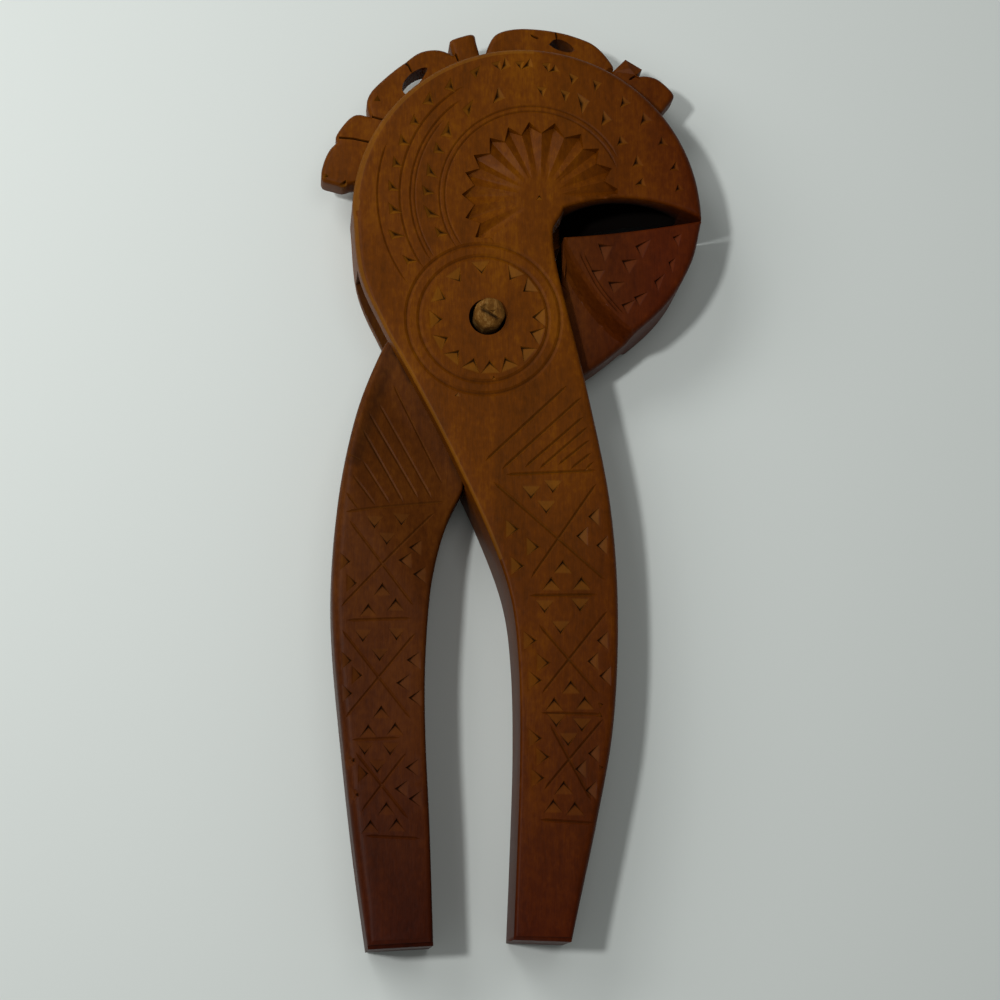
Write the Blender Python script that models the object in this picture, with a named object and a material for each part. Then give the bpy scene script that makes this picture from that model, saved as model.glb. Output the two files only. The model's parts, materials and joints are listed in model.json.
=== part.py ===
"""Carved horse-head nutcracker: two wooden levers on one wooden pivot pin.

The object lies on its back, front face up (+Z), head towards +Y and handles towards -Y.
Outlines are measured from the pivot axis, and the whole is then placed so that the middle
of its plan is at X = Y = 0 and its back is at Z = 0.
"""
import math

import bmesh
import bpy
import numpy as np
from mathutils import Matrix

MM = 0.001

# Plank that both levers are sawn from
PLANK_THICKNESS = 23.0 * MM
EDGE_ROUND = 1.3 * MM

# Mortise through the head lever, and the tenon of the jaw lever that turns in it
FRONT_CHEEK = 5.7 * MM
BACK_CHEEK = 5.3 * MM
GLIDE_GAP = 0.35 * MM
KNUCKLE_RADIUS = 21.5 * MM
KNUCKLE_GAP = 0.6 * MM
STOP_GAP = 0.4 * MM
MORTISE_FLOOR = 24.0 * MM
MORTISE_LEFT_ANGLE = 125.0
MORTISE_RIGHT_ANGLE = 36.0
THROAT_TURN = 80.0

# Pivot pin, a whittled dowel
PIN_DIAMETER = 7.7 * MM
PIN_PROUD = 3.3 * MM
PIN_RECESS = 0.8 * MM
PIN_SEAT_GAP = 0.15 * MM
PIN_RUNNING_GAP = 0.25 * MM
PIN_FRONT_GAP = 0.7 * MM

# Horse head: a disc that carries the mane and the upper jaw
HEAD_X = 10.0 * MM
HEAD_Y = 26.4 * MM
HEAD_RADIUS = 43.2 * MM
NECK_ANGLE = 178.0
TIP_GAP = 0.6 * MM
MOUTH_ROOF = 31.1 * MM
MOUTH_LEAN = 3.0 * MM
MOUTH_ROOT_LEAN = 5.0 * MM
MOUTH_ROOT_X = 19.0 * MM
MOUTH_ROOT_Y = 28.3 * MM
MOUTH_HEIGHT = 7.5 * MM

# Nut cup: a bowl gouged into the roof of the mouth, open to the mortise at its root
CUP_LENGTH = 36.0 * MM
CUP_FRONT_WALL = 3.0 * MM
CUP_BACK_WALL = 5.3 * MM
CUP_HEIGHT = 12.2 * MM
CUP_DEPTH = 4.0 * MM
THROAT_DEPTH = 7.0 * MM

# Fan rosette: flutes that deepen outwards from its middle to a toothed rim
FAN_X = 13.0 * MM
FAN_Y = 31.0 * MM
FAN_TIP_RADIUS = 19.4 * MM
FAN_NOTCH_RADIUS = 16.5 * MM
FAN_HUB_RADIUS = 5.0 * MM
FAN_DEPTH = 1.15 * MM
FAN_RIDGE_DEPTH = 0.4 * MM
FAN_FIRST_ANGLE = 7.0
FAN_LAST_ANGLE = 214.0
FAN_FLUTES = 13

# Mane: a thinner band of tufts round the crown of the head
MANE_THICKNESS = 8.0 * MM
MANE_BACK = 7.5 * MM
MANE_HEIGHT = 8.2 * MM
MANE_ROOT = 1.8 * MM
EYELET_LENGTH = 6.4 * MM
EYELET_WIDTH = 2.6 * MM
# Each tuft: first and last angle round the head, and how square its top is
TUFTS = (
    (41.3, 53.0, 3.0),
    (53.6, 60.6, 8.0),
    (61.6, 102.2, 2.8),
    (104.0, 111.6, 9.0),
    (112.6, 145.4, 2.8),
    (146.2, 156.4, 6.0),
    (157.0, 169.4, 4.5),
)
EYELET_ANGLES = (79.0, 126.5)

# Handles: how far they reach below the pivot axis. The outlines that follow are drawn in millimetres
# from the axis for handles of the outlines' own length, and are stretched to this one.
HANDLE_LENGTH = 152.0 * MM
OUTLINE_LENGTH = 152.0

# Edges of the head lever below the head, from the mouth down to the end of its handle
NOSE_TO_HANDLE = (
    (18.2, 26.4),
    (16.5, 23.6),
    (16.2, 20.9),
    (17.0, 14.0),
    (19.8, 1.9),
    (25.0, -20.3),
    (29.9, -45.8),
    (31.6, -71.0),
    (30.4, -98.0),
    (26.4, -121.0),
    (19.9, -150.3),
)
HANDLE_TO_NECK = (
    (6.3, -149.9),
    (7.2, -128.0),
    (7.9, -105.0),
    (7.5, -84.0),
    (5.3, -67.5),
    (-1.1, -50.0),
    (-10.1, -31.0),
    (-18.7, -14.6),
    (-25.6, -2.1),
    (-31.3, 11.1),
)

# Lower jaw's edge, seen from the middle of the head: its angle, and how far inside the head's circle
CHIN = (
    (-15.0, 1.2),
    (-31.7, 2.5),
    (-50.3, 3.7),
    (-70.0, 1.7),
)
# Both sides of the jaw lever's handle
CROTCH = (-5.5, -41.8)
INNER_HANDLE = (
    (-9.7, -51.4),
    (-13.2, -66.0),
    (-14.6, -84.5),
    (-14.5, -102.0),
    (-13.4, -124.0),
    (-12.4, -151.3),
)
OUTER_HANDLE = (
    (-27.6, -152.2),
    (-30.8, -131.0),
    (-33.9, -105.5),
    (-36.5, -80.0),
    (-36.9, -62.0),
    (-35.3, -42.5),
    (-31.2, -22.6),
    (-25.6, -7.6),
)
SHOULDER_ANGLE = 184.0
THROAT_ANGLE = -60.0
NOTCH_ANGLE = -100.0
HEEL_ANGLE = 29.0
HEEL_X = 18.9 * MM
# Line where the thick lower jaw starts, and how far its slope runs down to the tenon
PAD_EDGE = ((17.6, 23.0), (25.4, 9.1), (32.7, 0.2), (41.0, -5.6))
PAD_SLOPE = 3.2 * MM
# Line where the handle starts to thicken, and the length of that long slope
RAMP_EDGE = ((-36.0, 5.6), (2.2, -56.5))
RAMP_LENGTH = 24.0 * MM

CURVE_STEPS = 4
HOLE_SIDES = 32
CUT_MARGIN = 1.0 * MM


def metres(points):
    """The points of an outline in metres, stretched below the axis to the handles' length."""
    stretch = HANDLE_LENGTH / (OUTLINE_LENGTH * MM)
    return [np.array((x, y * stretch if y < 0 else y)) * MM for x, y in points]


def polar(radius, degrees, centre=(0.0, 0.0)):
    """A point at an angle round a centre."""
    a = math.radians(degrees)
    return np.array([centre[0] + radius * math.cos(a), centre[1] + radius * math.sin(a)])


def arc(centre, radius, start, end, steps):
    """Points along a circular arc, both ends included."""
    return [polar(radius, a, centre) for a in np.linspace(start, end, steps + 1)]


def arc_through(a, b, c, steps):
    """Points along the circular arc that passes through three points."""
    m = 2 * np.array([b - a, c - a])
    centre = np.linalg.solve(m, [b @ b - a @ a, c @ c - a @ a])
    turns = [math.degrees(math.atan2(*(p - centre)[::-1])) for p in (a, b, c)]
    turns = np.degrees(np.unwrap(np.radians(turns)))
    return arc(centre, np.linalg.norm(a - centre), turns[0], turns[2], steps)


def smooth(points, steps=CURVE_STEPS):
    """An even curve through every point, with straight-running ends."""
    p = [np.asarray(q, float) for q in points]
    p = [2 * p[0] - p[1]] + p + [2 * p[-1] - p[-2]]
    curve = []
    for i in range(1, len(p) - 2):
        for t in np.arange(steps) / steps:
            a = 2 * p[i]
            b = (p[i + 1] - p[i - 1]) * t
            c = (2 * p[i - 1] - 5 * p[i] + 4 * p[i + 1] - p[i + 2]) * t**2
            d = (3 * p[i] - p[i - 1] - 3 * p[i + 1] + p[i + 2]) * t**3
            curve.append((a + b + c + d) / 2)
    return curve + [p[-2]]


def head_centre():
    return np.array([HEAD_X, HEAD_Y])


def jaw_tip():
    """Where the two jaws meet, on the rim of the head."""
    drop = math.degrees(math.asin(TIP_GAP / 2 / HEAD_RADIUS))
    return polar(HEAD_RADIUS, -drop, head_centre())


def head_outline(lean=0.0, root_lean=0.0):
    """The head lever: crown, upper jaw, cheek and handle, clockwise from the neck.

    The leans are how much lower the mouth's roof lies at its middle and at its root.
    """
    crown = arc(head_centre(), HEAD_RADIUS, NECK_ANGLE, 0.0, 44)
    root = np.array([MOUTH_ROOT_X, MOUTH_ROOT_Y - root_lean])
    roof_top = np.array([(crown[-1][0] + MOUTH_ROOT_X) / 2, MOUTH_ROOF - lean])
    roof = arc_through(crown[-1], roof_top, root, 12)
    cheek = metres(NOSE_TO_HANDLE)
    waist = cheek[2][1]
    for point in cheek[:2]:
        point[1] = waist + (point[1] - waist) * (root[1] - waist) / (MOUTH_ROOT_Y - waist)
    neck = smooth(metres(HANDLE_TO_NECK) + [crown[0]])
    return crown + roof[1:] + smooth(cheek) + neck[:-1]


def jaw_outline():
    """The jaw lever: lower jaw, knuckle and handle, clockwise from the tip."""
    tip = jaw_tip() - np.array([0.0, TIP_GAP / 2])
    rim = [polar(HEAD_RADIUS - inside * MM, angle, head_centre()) for angle, inside in CHIN]
    chin = smooth([tip] + rim + [polar(KNUCKLE_RADIUS, THROAT_ANGLE)])
    throat = arc((0, 0), KNUCKLE_RADIUS, THROAT_ANGLE, NOTCH_ANGLE, 7)
    inner = smooth(metres((CROTCH,) + INNER_HANDLE))
    shoulder = polar(KNUCKLE_RADIUS, SHOULDER_ANGLE)
    outer = smooth(metres(OUTER_HANDLE) + [shoulder])
    knuckle = arc((0, 0), KNUCKLE_RADIUS, SHOULDER_ANGLE, HEEL_ANGLE, 26)
    heel = np.array([HEEL_X, MOUTH_ROOT_Y - MOUTH_HEIGHT])
    lip = arc_through(heel, (heel + tip) / 2 - np.array([0.0, TIP_GAP]), tip, 8)
    return chin + throat[1:] + inner + outer + knuckle[1:] + lip[:-1]


def mortise_outline():
    """The slot's plan: open to the left and right edges, closed by the head and the handle."""
    clear = KNUCKLE_RADIUS + KNUCKLE_GAP
    outside = HEAD_RADIUS + HEAD_X
    roof = arc((0, 0), clear, MORTISE_LEFT_ANGLE, THROAT_TURN, 10)
    side_top = polar(clear, MORTISE_RIGHT_ANGLE)[1]
    mouth_side = MOUTH_ROOT_X + KNUCKLE_GAP
    throat = [
        np.array([MOUTH_ROOT_X - THROAT_DEPTH / 2, MOUTH_ROOT_Y]),
        np.array([mouth_side, MOUTH_ROOT_Y]),
        np.array([mouth_side, side_top]),
    ]
    flank_top = polar(KNUCKLE_RADIUS, NOTCH_ANGLE) + np.array([STOP_GAP, 0.0])
    flank_top[1] = -MORTISE_FLOOR
    flank_foot = metres((CROTCH,))[0] + np.array([STOP_GAP, 0.0])
    below = np.array([flank_foot[0] - outside, 2 * flank_foot[1]])
    reach = np.array([flank_foot[0] + (flank_foot[0] - flank_top[0]) / 2, 1.5 * flank_foot[1]])
    left = np.array([-outside, roof[0][1] - clear / 4])
    return (
        [left, np.array([-clear * 1.4, left[1]])]
        + roof
        + throat
        + [np.array([outside, side_top]), np.array([outside, -MORTISE_FLOOR])]
        + [flank_top, flank_foot, reach, below]
    )


def mane_outline():
    """Tufts standing out from the crown, with a root band inside the head."""
    root = HEAD_RADIUS + MANE_ROOT
    peak = HEAD_RADIUS + MANE_HEIGHT
    outer = []
    for first, last, square in TUFTS:
        steps = max(8, round((last - first) / 2.5))
        for t in (1 - np.cos(np.linspace(0, math.pi, steps + 1))) / 2:
            rise = (1 - abs(2 * t - 1) ** square) ** (1 / square)
            outer.append(polar(root + (peak - root) * rise, first + (last - first) * t, head_centre()))
    inner = arc(head_centre(), HEAD_RADIUS - MANE_ROOT, TUFTS[-1][1], TUFTS[0][0], 24)
    return outer + inner


def eyelet_outline(degrees):
    """A lens-shaped hole under a looped tuft, along the rim of the head."""
    middle = polar(HEAD_RADIUS + MANE_ROOT + EYELET_WIDTH / 2, degrees, head_centre())
    along = polar(1.0, degrees - 90)
    out = polar(1.0, degrees)
    turns = np.linspace(0, 2 * math.pi, 16, endpoint=False)
    return [
        middle
        + along * EYELET_LENGTH / 2 * math.cos(a)
        + out * EYELET_WIDTH / 2 * math.sin(a)
        for a in turns
    ]


def plan_middle():
    """The middle of the whole plan, measured from the pivot."""
    points = np.array(head_outline() + jaw_outline() + mane_outline())
    return (points.min(0) + points.max(0)) / 2


def material(name, colour, roughness):
    """A plain finish for one lever or pin."""
    made = bpy.data.materials.new(name)
    made.use_nodes = True
    shader = made.node_tree.nodes["Principled BSDF"]
    shader.inputs["Base Color"].default_value = (*colour, 1.0)
    shader.inputs["Roughness"].default_value = roughness
    shader.inputs["Metallic"].default_value = 0.0
    return made


def finish_mesh(bm, name, pivot, finish=None):
    """The object made from a bmesh, hung on the pivot."""
    bmesh.ops.recalc_face_normals(bm, faces=bm.faces)
    mesh = bpy.data.meshes.new(name)
    bm.to_mesh(mesh)
    bm.free()
    mesh.shade_smooth()
    mesh.set_sharp_from_angle(angle=math.radians(35))
    made = bpy.data.objects.new(name, mesh)
    bpy.context.collection.objects.link(made)
    made.parent = pivot
    if finish:
        mesh.materials.append(finish)
    else:
        made.hide_render = True
        made.display_type = "WIRE"
    return made


def plank(outline, low, high, rounding=0.0, upper=None):
    """A board sawn to an outline, its long edges rounded over; its upper face may differ a little."""
    bm = bmesh.new()
    foot = [bm.verts.new((x, y, low)) for x, y in outline]
    head = [bm.verts.new((x, y, high)) for x, y in upper or outline]
    bm.faces.new(foot)
    bm.faces.new(head[::-1])
    for i in range(len(foot)):
        j = (i + 1) % len(foot)
        bm.faces.new((foot[j], foot[i], head[i], head[j]))
    if rounding:
        rims = [e for e in bm.edges if abs(e.verts[0].co.z - e.verts[1].co.z) < rounding / 10]
        bmesh.ops.bevel(
            bm, geom=rims, offset=rounding, segments=2, profile=0.5, affect="EDGES", clamp_overlap=False
        )
    if upper:
        bmesh.ops.connect_verts_nonplanar(bm, angle_limit=math.radians(0.1), faces=bm.faces)
    return bm


def loft(lower, upper, low, high):
    """A solid between two outlines with equally many points."""
    bm = bmesh.new()
    foot = [bm.verts.new((x, y, low)) for x, y in lower]
    head = [bm.verts.new((x, y, high)) for x, y in upper]
    bm.faces.new(foot)
    bm.faces.new(head[::-1])
    for i in range(len(foot)):
        j = (i + 1) % len(foot)
        bm.faces.new((foot[j], foot[i], head[i]))
        bm.faces.new((foot[j], head[i], head[j]))
    return bm


def boolean(target, cutter, operation):
    """Joins a piece to the target, or cuts it away."""
    step = target.modifiers.new(cutter.name, "BOOLEAN")
    step.operation = operation
    step.object = cutter
    step.solver = "EXACT"


def shifted(line, distance, side):
    """A line moved sideways by a distance, on its left (1) or right (-1)."""
    points = [np.asarray(p, float) for p in line]
    moved = []
    for i, p in enumerate(points):
        ahead = points[min(i + 1, len(points) - 1)] - points[max(i - 1, 0)]
        ahead /= np.linalg.norm(ahead)
        moved.append(p + side * distance * np.array([-ahead[1], ahead[0]]))
    return moved


def scoop(level, face, pivot, name):
    """The hollow that thins the jaw lever from a face of the plank to its tenon."""
    run = (abs(face - level) + CUT_MARGIN) / abs(face - level)
    pad = metres(PAD_EDGE)
    pad.append(pad[-1] + (pad[-1] - pad[-2]) * HEAD_RADIUS / KNUCKLE_RADIUS / 2)
    ramp = metres(RAMP_EDGE)
    pad_foot = shifted(pad, PAD_SLOPE, -1)
    pad_rim = shifted(pad_foot, PAD_SLOPE * run, 1)
    ramp_rim = shifted(ramp, RAMP_LENGTH * run, -1)
    beyond = [np.array([-HEAD_RADIUS, HEAD_RADIUS]), np.array([0.0, 2 * KNUCKLE_RADIUS])]
    lower = pad_foot[::-1] + beyond[::-1] + ramp
    upper = pad_rim[::-1] + beyond[::-1] + ramp_rim
    out = math.copysign(CUT_MARGIN, face - level)
    return finish_mesh(loft(lower, upper, level, face + out), name, pivot)


def hole(diameter, low, high, pivot, name):
    """A drilled hole on the pivot axis."""
    outline = arc((0, 0), diameter / 2, 0.0, 360.0, HOLE_SIDES)[:-1]
    return finish_mesh(plank(outline, low, high), name, pivot)


def nut_cup(pivot):
    """The bowl in the roof of the mouth, a stretched ball."""
    bm = bmesh.new()
    low, high = CUP_BACK_WALL, PLANK_THICKNESS - CUP_FRONT_WALL
    middle = (
        MOUTH_ROOT_X - THROAT_DEPTH + CUP_LENGTH / 2,
        MOUTH_ROOF + CUP_DEPTH - CUP_HEIGHT / 2,
        (low + high) / 2,
    )
    stretch = Matrix.Diagonal((CUP_LENGTH / 2, CUP_HEIGHT / 2, (high - low) / 2, 1.0))
    bmesh.ops.create_uvsphere(
        bm, u_segments=24, v_segments=12, radius=1.0, matrix=Matrix.Translation(middle) @ stretch
    )
    return finish_mesh(bm, "nut_cup_cutter", pivot)


def fan(pivot):
    """The rosette's flutes: V cuts from a raised middle down to a toothed rim."""
    bm = bmesh.new()
    above = PLANK_THICKNESS + CUT_MARGIN
    middle = (FAN_X, FAN_Y)
    crest = PLANK_THICKNESS + FAN_DEPTH * FAN_HUB_RADIUS / (FAN_TIP_RADIUS - FAN_HUB_RADIUS)
    floor_middle = bm.verts.new((*middle, crest))
    top_middle = bm.verts.new((*middle, above))
    floor = []
    top = []
    for count, angle in enumerate(np.linspace(FAN_FIRST_ANGLE, FAN_LAST_ANGLE, 2 * FAN_FLUTES + 1)):
        radius, depth = (FAN_NOTCH_RADIUS, FAN_RIDGE_DEPTH)
        if count % 2:
            radius, depth = (FAN_TIP_RADIUS, FAN_DEPTH)
        place = polar(radius, angle, middle)
        floor.append(bm.verts.new((*place, PLANK_THICKNESS - depth)))
        top.append(bm.verts.new((*place, above)))
    for i in range(2 * FAN_FLUTES):
        bm.faces.new((floor_middle, floor[i + 1], floor[i]))
        bm.faces.new((top_middle, top[i], top[i + 1]))
        bm.faces.new((floor[i], floor[i + 1], top[i + 1], top[i]))
    bm.faces.new((floor_middle, floor[0], top[0], top_middle))
    bm.faces.new((floor_middle, top_middle, top[-1], floor[-1]))
    return finish_mesh(bm, "fan_cutter", pivot)


def make_head_lever(pivot, finish):
    """Head, upper jaw and mane in one plank that runs on into the right-hand handle."""
    back = head_outline(MOUTH_LEAN, MOUTH_ROOT_LEAN)
    board = plank(back, 0.0, PLANK_THICKNESS, EDGE_ROUND, head_outline())
    lever = finish_mesh(board, "head_lever", pivot, finish)
    mane = finish_mesh(
        plank(mane_outline(), MANE_BACK, MANE_BACK + MANE_THICKNESS), "mane_form", pivot
    )
    boolean(lever, mane, "UNION")
    for count, angle in enumerate(EYELET_ANGLES):
        blank = plank(eyelet_outline(angle), -CUT_MARGIN, PLANK_THICKNESS + CUT_MARGIN)
        boolean(lever, finish_mesh(blank, f"eyelet_cutter_{count + 1}", pivot), "DIFFERENCE")
    slot = plank(mortise_outline(), BACK_CHEEK, PLANK_THICKNESS - FRONT_CHEEK)
    boolean(lever, finish_mesh(slot, "mortise_cutter", pivot), "DIFFERENCE")
    boolean(lever, nut_cup(pivot), "DIFFERENCE")
    boolean(lever, fan(pivot), "DIFFERENCE")
    middle = PLANK_THICKNESS / 2
    front = PIN_DIAMETER + 2 * PIN_FRONT_GAP
    back = PIN_DIAMETER + 2 * PIN_SEAT_GAP
    bores = (
        hole(front, middle, PLANK_THICKNESS + CUT_MARGIN, pivot, "front_bore_cutter"),
        hole(back, -CUT_MARGIN, middle - CUT_MARGIN, pivot, "back_bore_cutter"),
    )
    for bore in bores:
        boolean(lever, bore, "DIFFERENCE")


def make_jaw_lever(pivot, finish):
    """Lower jaw, tenon and left-hand handle in one plank, thinned where it turns."""
    lever = finish_mesh(
        plank(jaw_outline(), 0.0, PLANK_THICKNESS, EDGE_ROUND), "jaw_lever", pivot, finish
    )
    tenon_back = BACK_CHEEK + GLIDE_GAP
    tenon_front = PLANK_THICKNESS - FRONT_CHEEK - GLIDE_GAP
    front = scoop(tenon_front, PLANK_THICKNESS, pivot, "front_scoop_cutter")
    back = scoop(tenon_back, 0.0, pivot, "back_scoop_cutter")
    bore = hole(
        PIN_DIAMETER + 2 * PIN_RUNNING_GAP,
        -CUT_MARGIN,
        PLANK_THICKNESS + CUT_MARGIN,
        pivot,
        "tenon_bore_cutter",
    )
    for cutter in (front, back, bore):
        boolean(lever, cutter, "DIFFERENCE")


def make_pivot_pin(pivot, finish):
    """A whittled dowel: round where it turns, faceted and blunt where it stands proud."""
    radius = PIN_DIAMETER / 2
    top = PLANK_THICKNESS + PIN_PROUD
    rings = (
        (PIN_RECESS, 0.88),
        (PIN_RECESS + PIN_PROUD / 4, 1.0),
        (PLANK_THICKNESS + PIN_PROUD / 3, 1.0),
        (top - PIN_PROUD / 6, 0.86),
        (top, 0.52),
    )
    bm = bmesh.new()
    sides = HOLE_SIDES // 2
    loops = []
    for z, share in rings:
        circle = arc((0, 0), radius * share, 0.0, 360.0, sides)[:-1]
        loops.append([bm.verts.new((x, y, z)) for x, y in circle])
    for low, high in zip(loops, loops[1:]):
        for i in range(sides):
            j = (i + 1) % sides
            bm.faces.new((low[i], low[j], high[j], high[i]))
    bm.faces.new(loops[0][::-1])
    bm.faces.new(loops[-1])
    finish_mesh(bm, "pivot_pin", pivot, finish)


def main():
    for old in list(bpy.data.objects):
        bpy.data.objects.remove(old, do_unlink=True)
    pivot = bpy.data.objects.new("pivot_axis", None)
    bpy.context.collection.objects.link(pivot)
    middle = plan_middle()
    pivot.location = (-middle[0], -middle[1], 0.0)
    make_head_lever(pivot, material("honey_brown_wood", (0.16, 0.06, 0.012), 0.45))
    make_jaw_lever(pivot, material("red_brown_wood", (0.11, 0.04, 0.01), 0.45))
    make_pivot_pin(pivot, material("bare_dowel_wood", (0.2, 0.12, 0.05), 0.7))
    bpy.context.view_layer.update()
    print("pivot axis at", [round(v / MM, 2) for v in pivot.location], "mm")


main()
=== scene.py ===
# %% [markdown]
# # A carved nutcracker with a horse's head
# The object is a lever nutcracker, cut by hand from two small planks and held by one wooden peg. It lies
# on its back on pale paper and is seen from above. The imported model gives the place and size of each
# piece, so it is loaded first and everything else is built around it.

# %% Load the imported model
import json
import math

import bmesh
import bpy
import numpy as np
from mathutils import Matrix, Vector
from mathutils.geometry import delaunay_2d_cdt


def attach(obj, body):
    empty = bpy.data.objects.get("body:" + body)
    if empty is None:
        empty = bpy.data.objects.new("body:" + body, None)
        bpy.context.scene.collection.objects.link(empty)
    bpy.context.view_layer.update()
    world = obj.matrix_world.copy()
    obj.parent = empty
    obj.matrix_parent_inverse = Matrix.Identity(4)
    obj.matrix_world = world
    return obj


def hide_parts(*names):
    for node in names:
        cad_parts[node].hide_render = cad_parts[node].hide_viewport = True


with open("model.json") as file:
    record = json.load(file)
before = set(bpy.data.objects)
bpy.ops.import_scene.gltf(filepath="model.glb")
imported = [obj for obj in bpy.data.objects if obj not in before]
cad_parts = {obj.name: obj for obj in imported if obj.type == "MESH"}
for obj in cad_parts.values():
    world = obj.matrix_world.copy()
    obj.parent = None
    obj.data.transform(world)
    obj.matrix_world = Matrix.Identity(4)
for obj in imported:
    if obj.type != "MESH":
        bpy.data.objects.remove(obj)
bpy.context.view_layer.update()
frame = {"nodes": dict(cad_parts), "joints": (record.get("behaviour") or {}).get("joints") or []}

MM = 0.001
pivot = Vector(frame["joints"][0]["pos_m"])
pivot.z = 0.0
print("pivot axis at", [round(v / MM, 2) for v in pivot], "mm; nodes", sorted(frame["nodes"]))

# %% [markdown]
# ## The camera
# The photograph was taken with a long lens from above, a little below and to the left of the object. A
# camera is set by three things that can be reasoned about: where it stands, the point that it looks at,
# and its lens. The rotation follows from the first two, with the picture's upright along the table's Y.

# %% Camera
CAMERA_PLACE = Vector((-55.35, -137.74, 656.65)) * MM
CAMERA_AIM = Vector((-3.61, -8.23, 23.0)) * MM
CAMERA_LENS = 97.2

backward = (CAMERA_PLACE - CAMERA_AIM).normalized()
right = Vector((0, 1, 0)).cross(backward).normalized()
upward = backward.cross(right)
camera = bpy.data.objects.new("camera", bpy.data.cameras.new("camera"))
bpy.context.scene.collection.objects.link(camera)
turn = Matrix((right, upward, backward)).transposed().to_4x4()
camera.matrix_world = Matrix.Translation(CAMERA_PLACE) @ turn
camera.data.lens = CAMERA_LENS
camera.data.clip_start = 0.01
bpy.context.scene.camera = camera
print("camera looks down", round(math.degrees(math.acos(backward.z)), 1), "degrees off the vertical")

# %% [markdown]
# ## Colours and nodes
# Colours are written as the hex values that a paint chart uses. The shader works with linear light, so
# one function turns one into the other. Another small one adds a shader node with its settings and
# links, so that a material reads as a list of what it is made from.

# %% Helpers for materials
def colour(code):
    """A hex colour in linear light."""
    parts = [int(code[i : i + 2], 16) / 255 for i in (1, 3, 5)]
    return (*(c / 12.92 if c <= 0.04045 else ((c + 0.055) / 1.055) ** 2.4 for c in parts), 1.0)


def add(tree, kind, inputs=None, take=0, stops=(), **settings):
    """One shader node with its settings, colour stops and links; gives one of its outputs."""
    node = tree.nodes.new("ShaderNode" + kind)
    for name, value in settings.items():
        setattr(node, name, value)
    for name, value in (inputs or {}).items():
        if isinstance(value, bpy.types.NodeSocket):
            tree.links.new(value, node.inputs[name])
        else:
            node.inputs[name].default_value = value
    for count, (place, code) in enumerate(stops):
        marks = node.color_ramp.elements
        mark = marks[count] if count < 2 else marks.new(place)
        mark.position = place
        mark.color = colour(code)
    return node.outputs[take]


# %% [markdown]
# ## Table and light
# Matte paper bounces light evenly, so a plain rough surface is enough. A small bright window on the left
# throws the crisp shadow, about half as long as the plank is thick. A broader, weaker light from beyond
# the head comes in at a slant, and it is what models the carving. A wall on the left, a soft lamp overhead
# and a pale room fill the shadows; a lamp that is there only to fill shows in no gloss.

# %% Floor
matte_paper = bpy.data.materials.new("matte_white_paper")
matte_paper.use_nodes = True
paper = matte_paper.node_tree.nodes["Principled BSDF"]
paper.inputs["Base Color"].default_value = colour("#dce2de")
paper.inputs["Roughness"].default_value = 0.85
paper.inputs["Specular IOR Level"].default_value = 0.2

bpy.ops.mesh.primitive_plane_add(size=4.0, location=(0, 0, -0.0002))
floor = bpy.context.object
floor.name = "paper_floor"
floor.data.materials.append(matte_paper)

# %% Light
# Metres from the middle of the table
LAMPS = (
    # name, place, size, power in watts, spread in degrees, point of the table aimed at, seen in gloss
    ("window", (-0.46, -0.045, 1.0), 0.09, 1.4, 100, (-0.20, 0.10), True),
    ("far_window", (-0.35, 0.40, 0.55), 0.30, 1.1, 180, (0.0, 0.0), True),
    ("left_wall", (-0.45, 0.15, 0.35), 0.30, 0.55, 180, (0.0, 0.0), False),
    ("ceiling", (0.05, 0.08, 0.60), 0.25, 0.30, 180, (0.0, 0.0), False),
)
for name, place, size, power, spread, aim, glossy in LAMPS:
    lamp = bpy.data.lights.new(name, "AREA")
    lamp.shape = "DISK"
    lamp.size = size
    lamp.energy = power
    lamp.spread = math.radians(spread)
    holder = bpy.data.objects.new(name, lamp)
    bpy.context.scene.collection.objects.link(holder)
    holder.location = place
    holder.rotation_euler = (Vector(place) - Vector((*aim, 0))).to_track_quat("Z", "Y").to_euler()
    holder.visible_glossy = glossy
print("lamps:", ", ".join(f"{lamp[0]} {lamp[3]} W" for lamp in LAMPS))

room = bpy.data.worlds.new("pale_room")
bpy.context.scene.world = room
room.use_nodes = True
walls = room.node_tree.nodes["Background"]
walls.inputs["Strength"].default_value = 0.2
walls.inputs["Color"].default_value = colour("#eef1f0")
bpy.context.scene.view_settings.view_transform = "Standard"

# %% [markdown]
# ## How a carved board is built
# A board with chip carving is almost flat, so its front can be one sheet of triangles seen from above, in
# which each knife line and each chip has edges of its own. A constrained Delaunay triangulation makes
# that sheet: it takes the outline and all the carved lines and fills the rest with well-shaped
# triangles. The height of each point then follows from how deep the knife went there. This keeps every
# cut crisp with few triangles, where a regular grid would need very many. All of it is in millimetres
# from the pivot.

# %% Curves in the plan
def arc(centre, radius, first, last, gap=0.8):
    """A circular arc with a point about every gap."""
    steps = max(2, round(abs(math.radians(last - first)) * radius / gap))
    a = np.radians(np.linspace(first, last, steps + 1))
    return np.c_[centre[0] + radius * np.cos(a), centre[1] + radius * np.sin(a)]


def arc_through(a, b, c, gap=0.8):
    """The circular arc that passes through three points."""
    a, b, c = (np.array(p, float) for p in (a, b, c))
    m = 2 * np.array([b - a, c - a])
    centre = np.linalg.solve(m, [b @ b - a @ a, c @ c - a @ a])
    turns = np.degrees(np.unwrap([math.atan2(*(p - centre)[::-1]) for p in (a, b, c)]))
    return arc(centre, np.linalg.norm(a - centre), turns[0], turns[2], gap)


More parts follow.
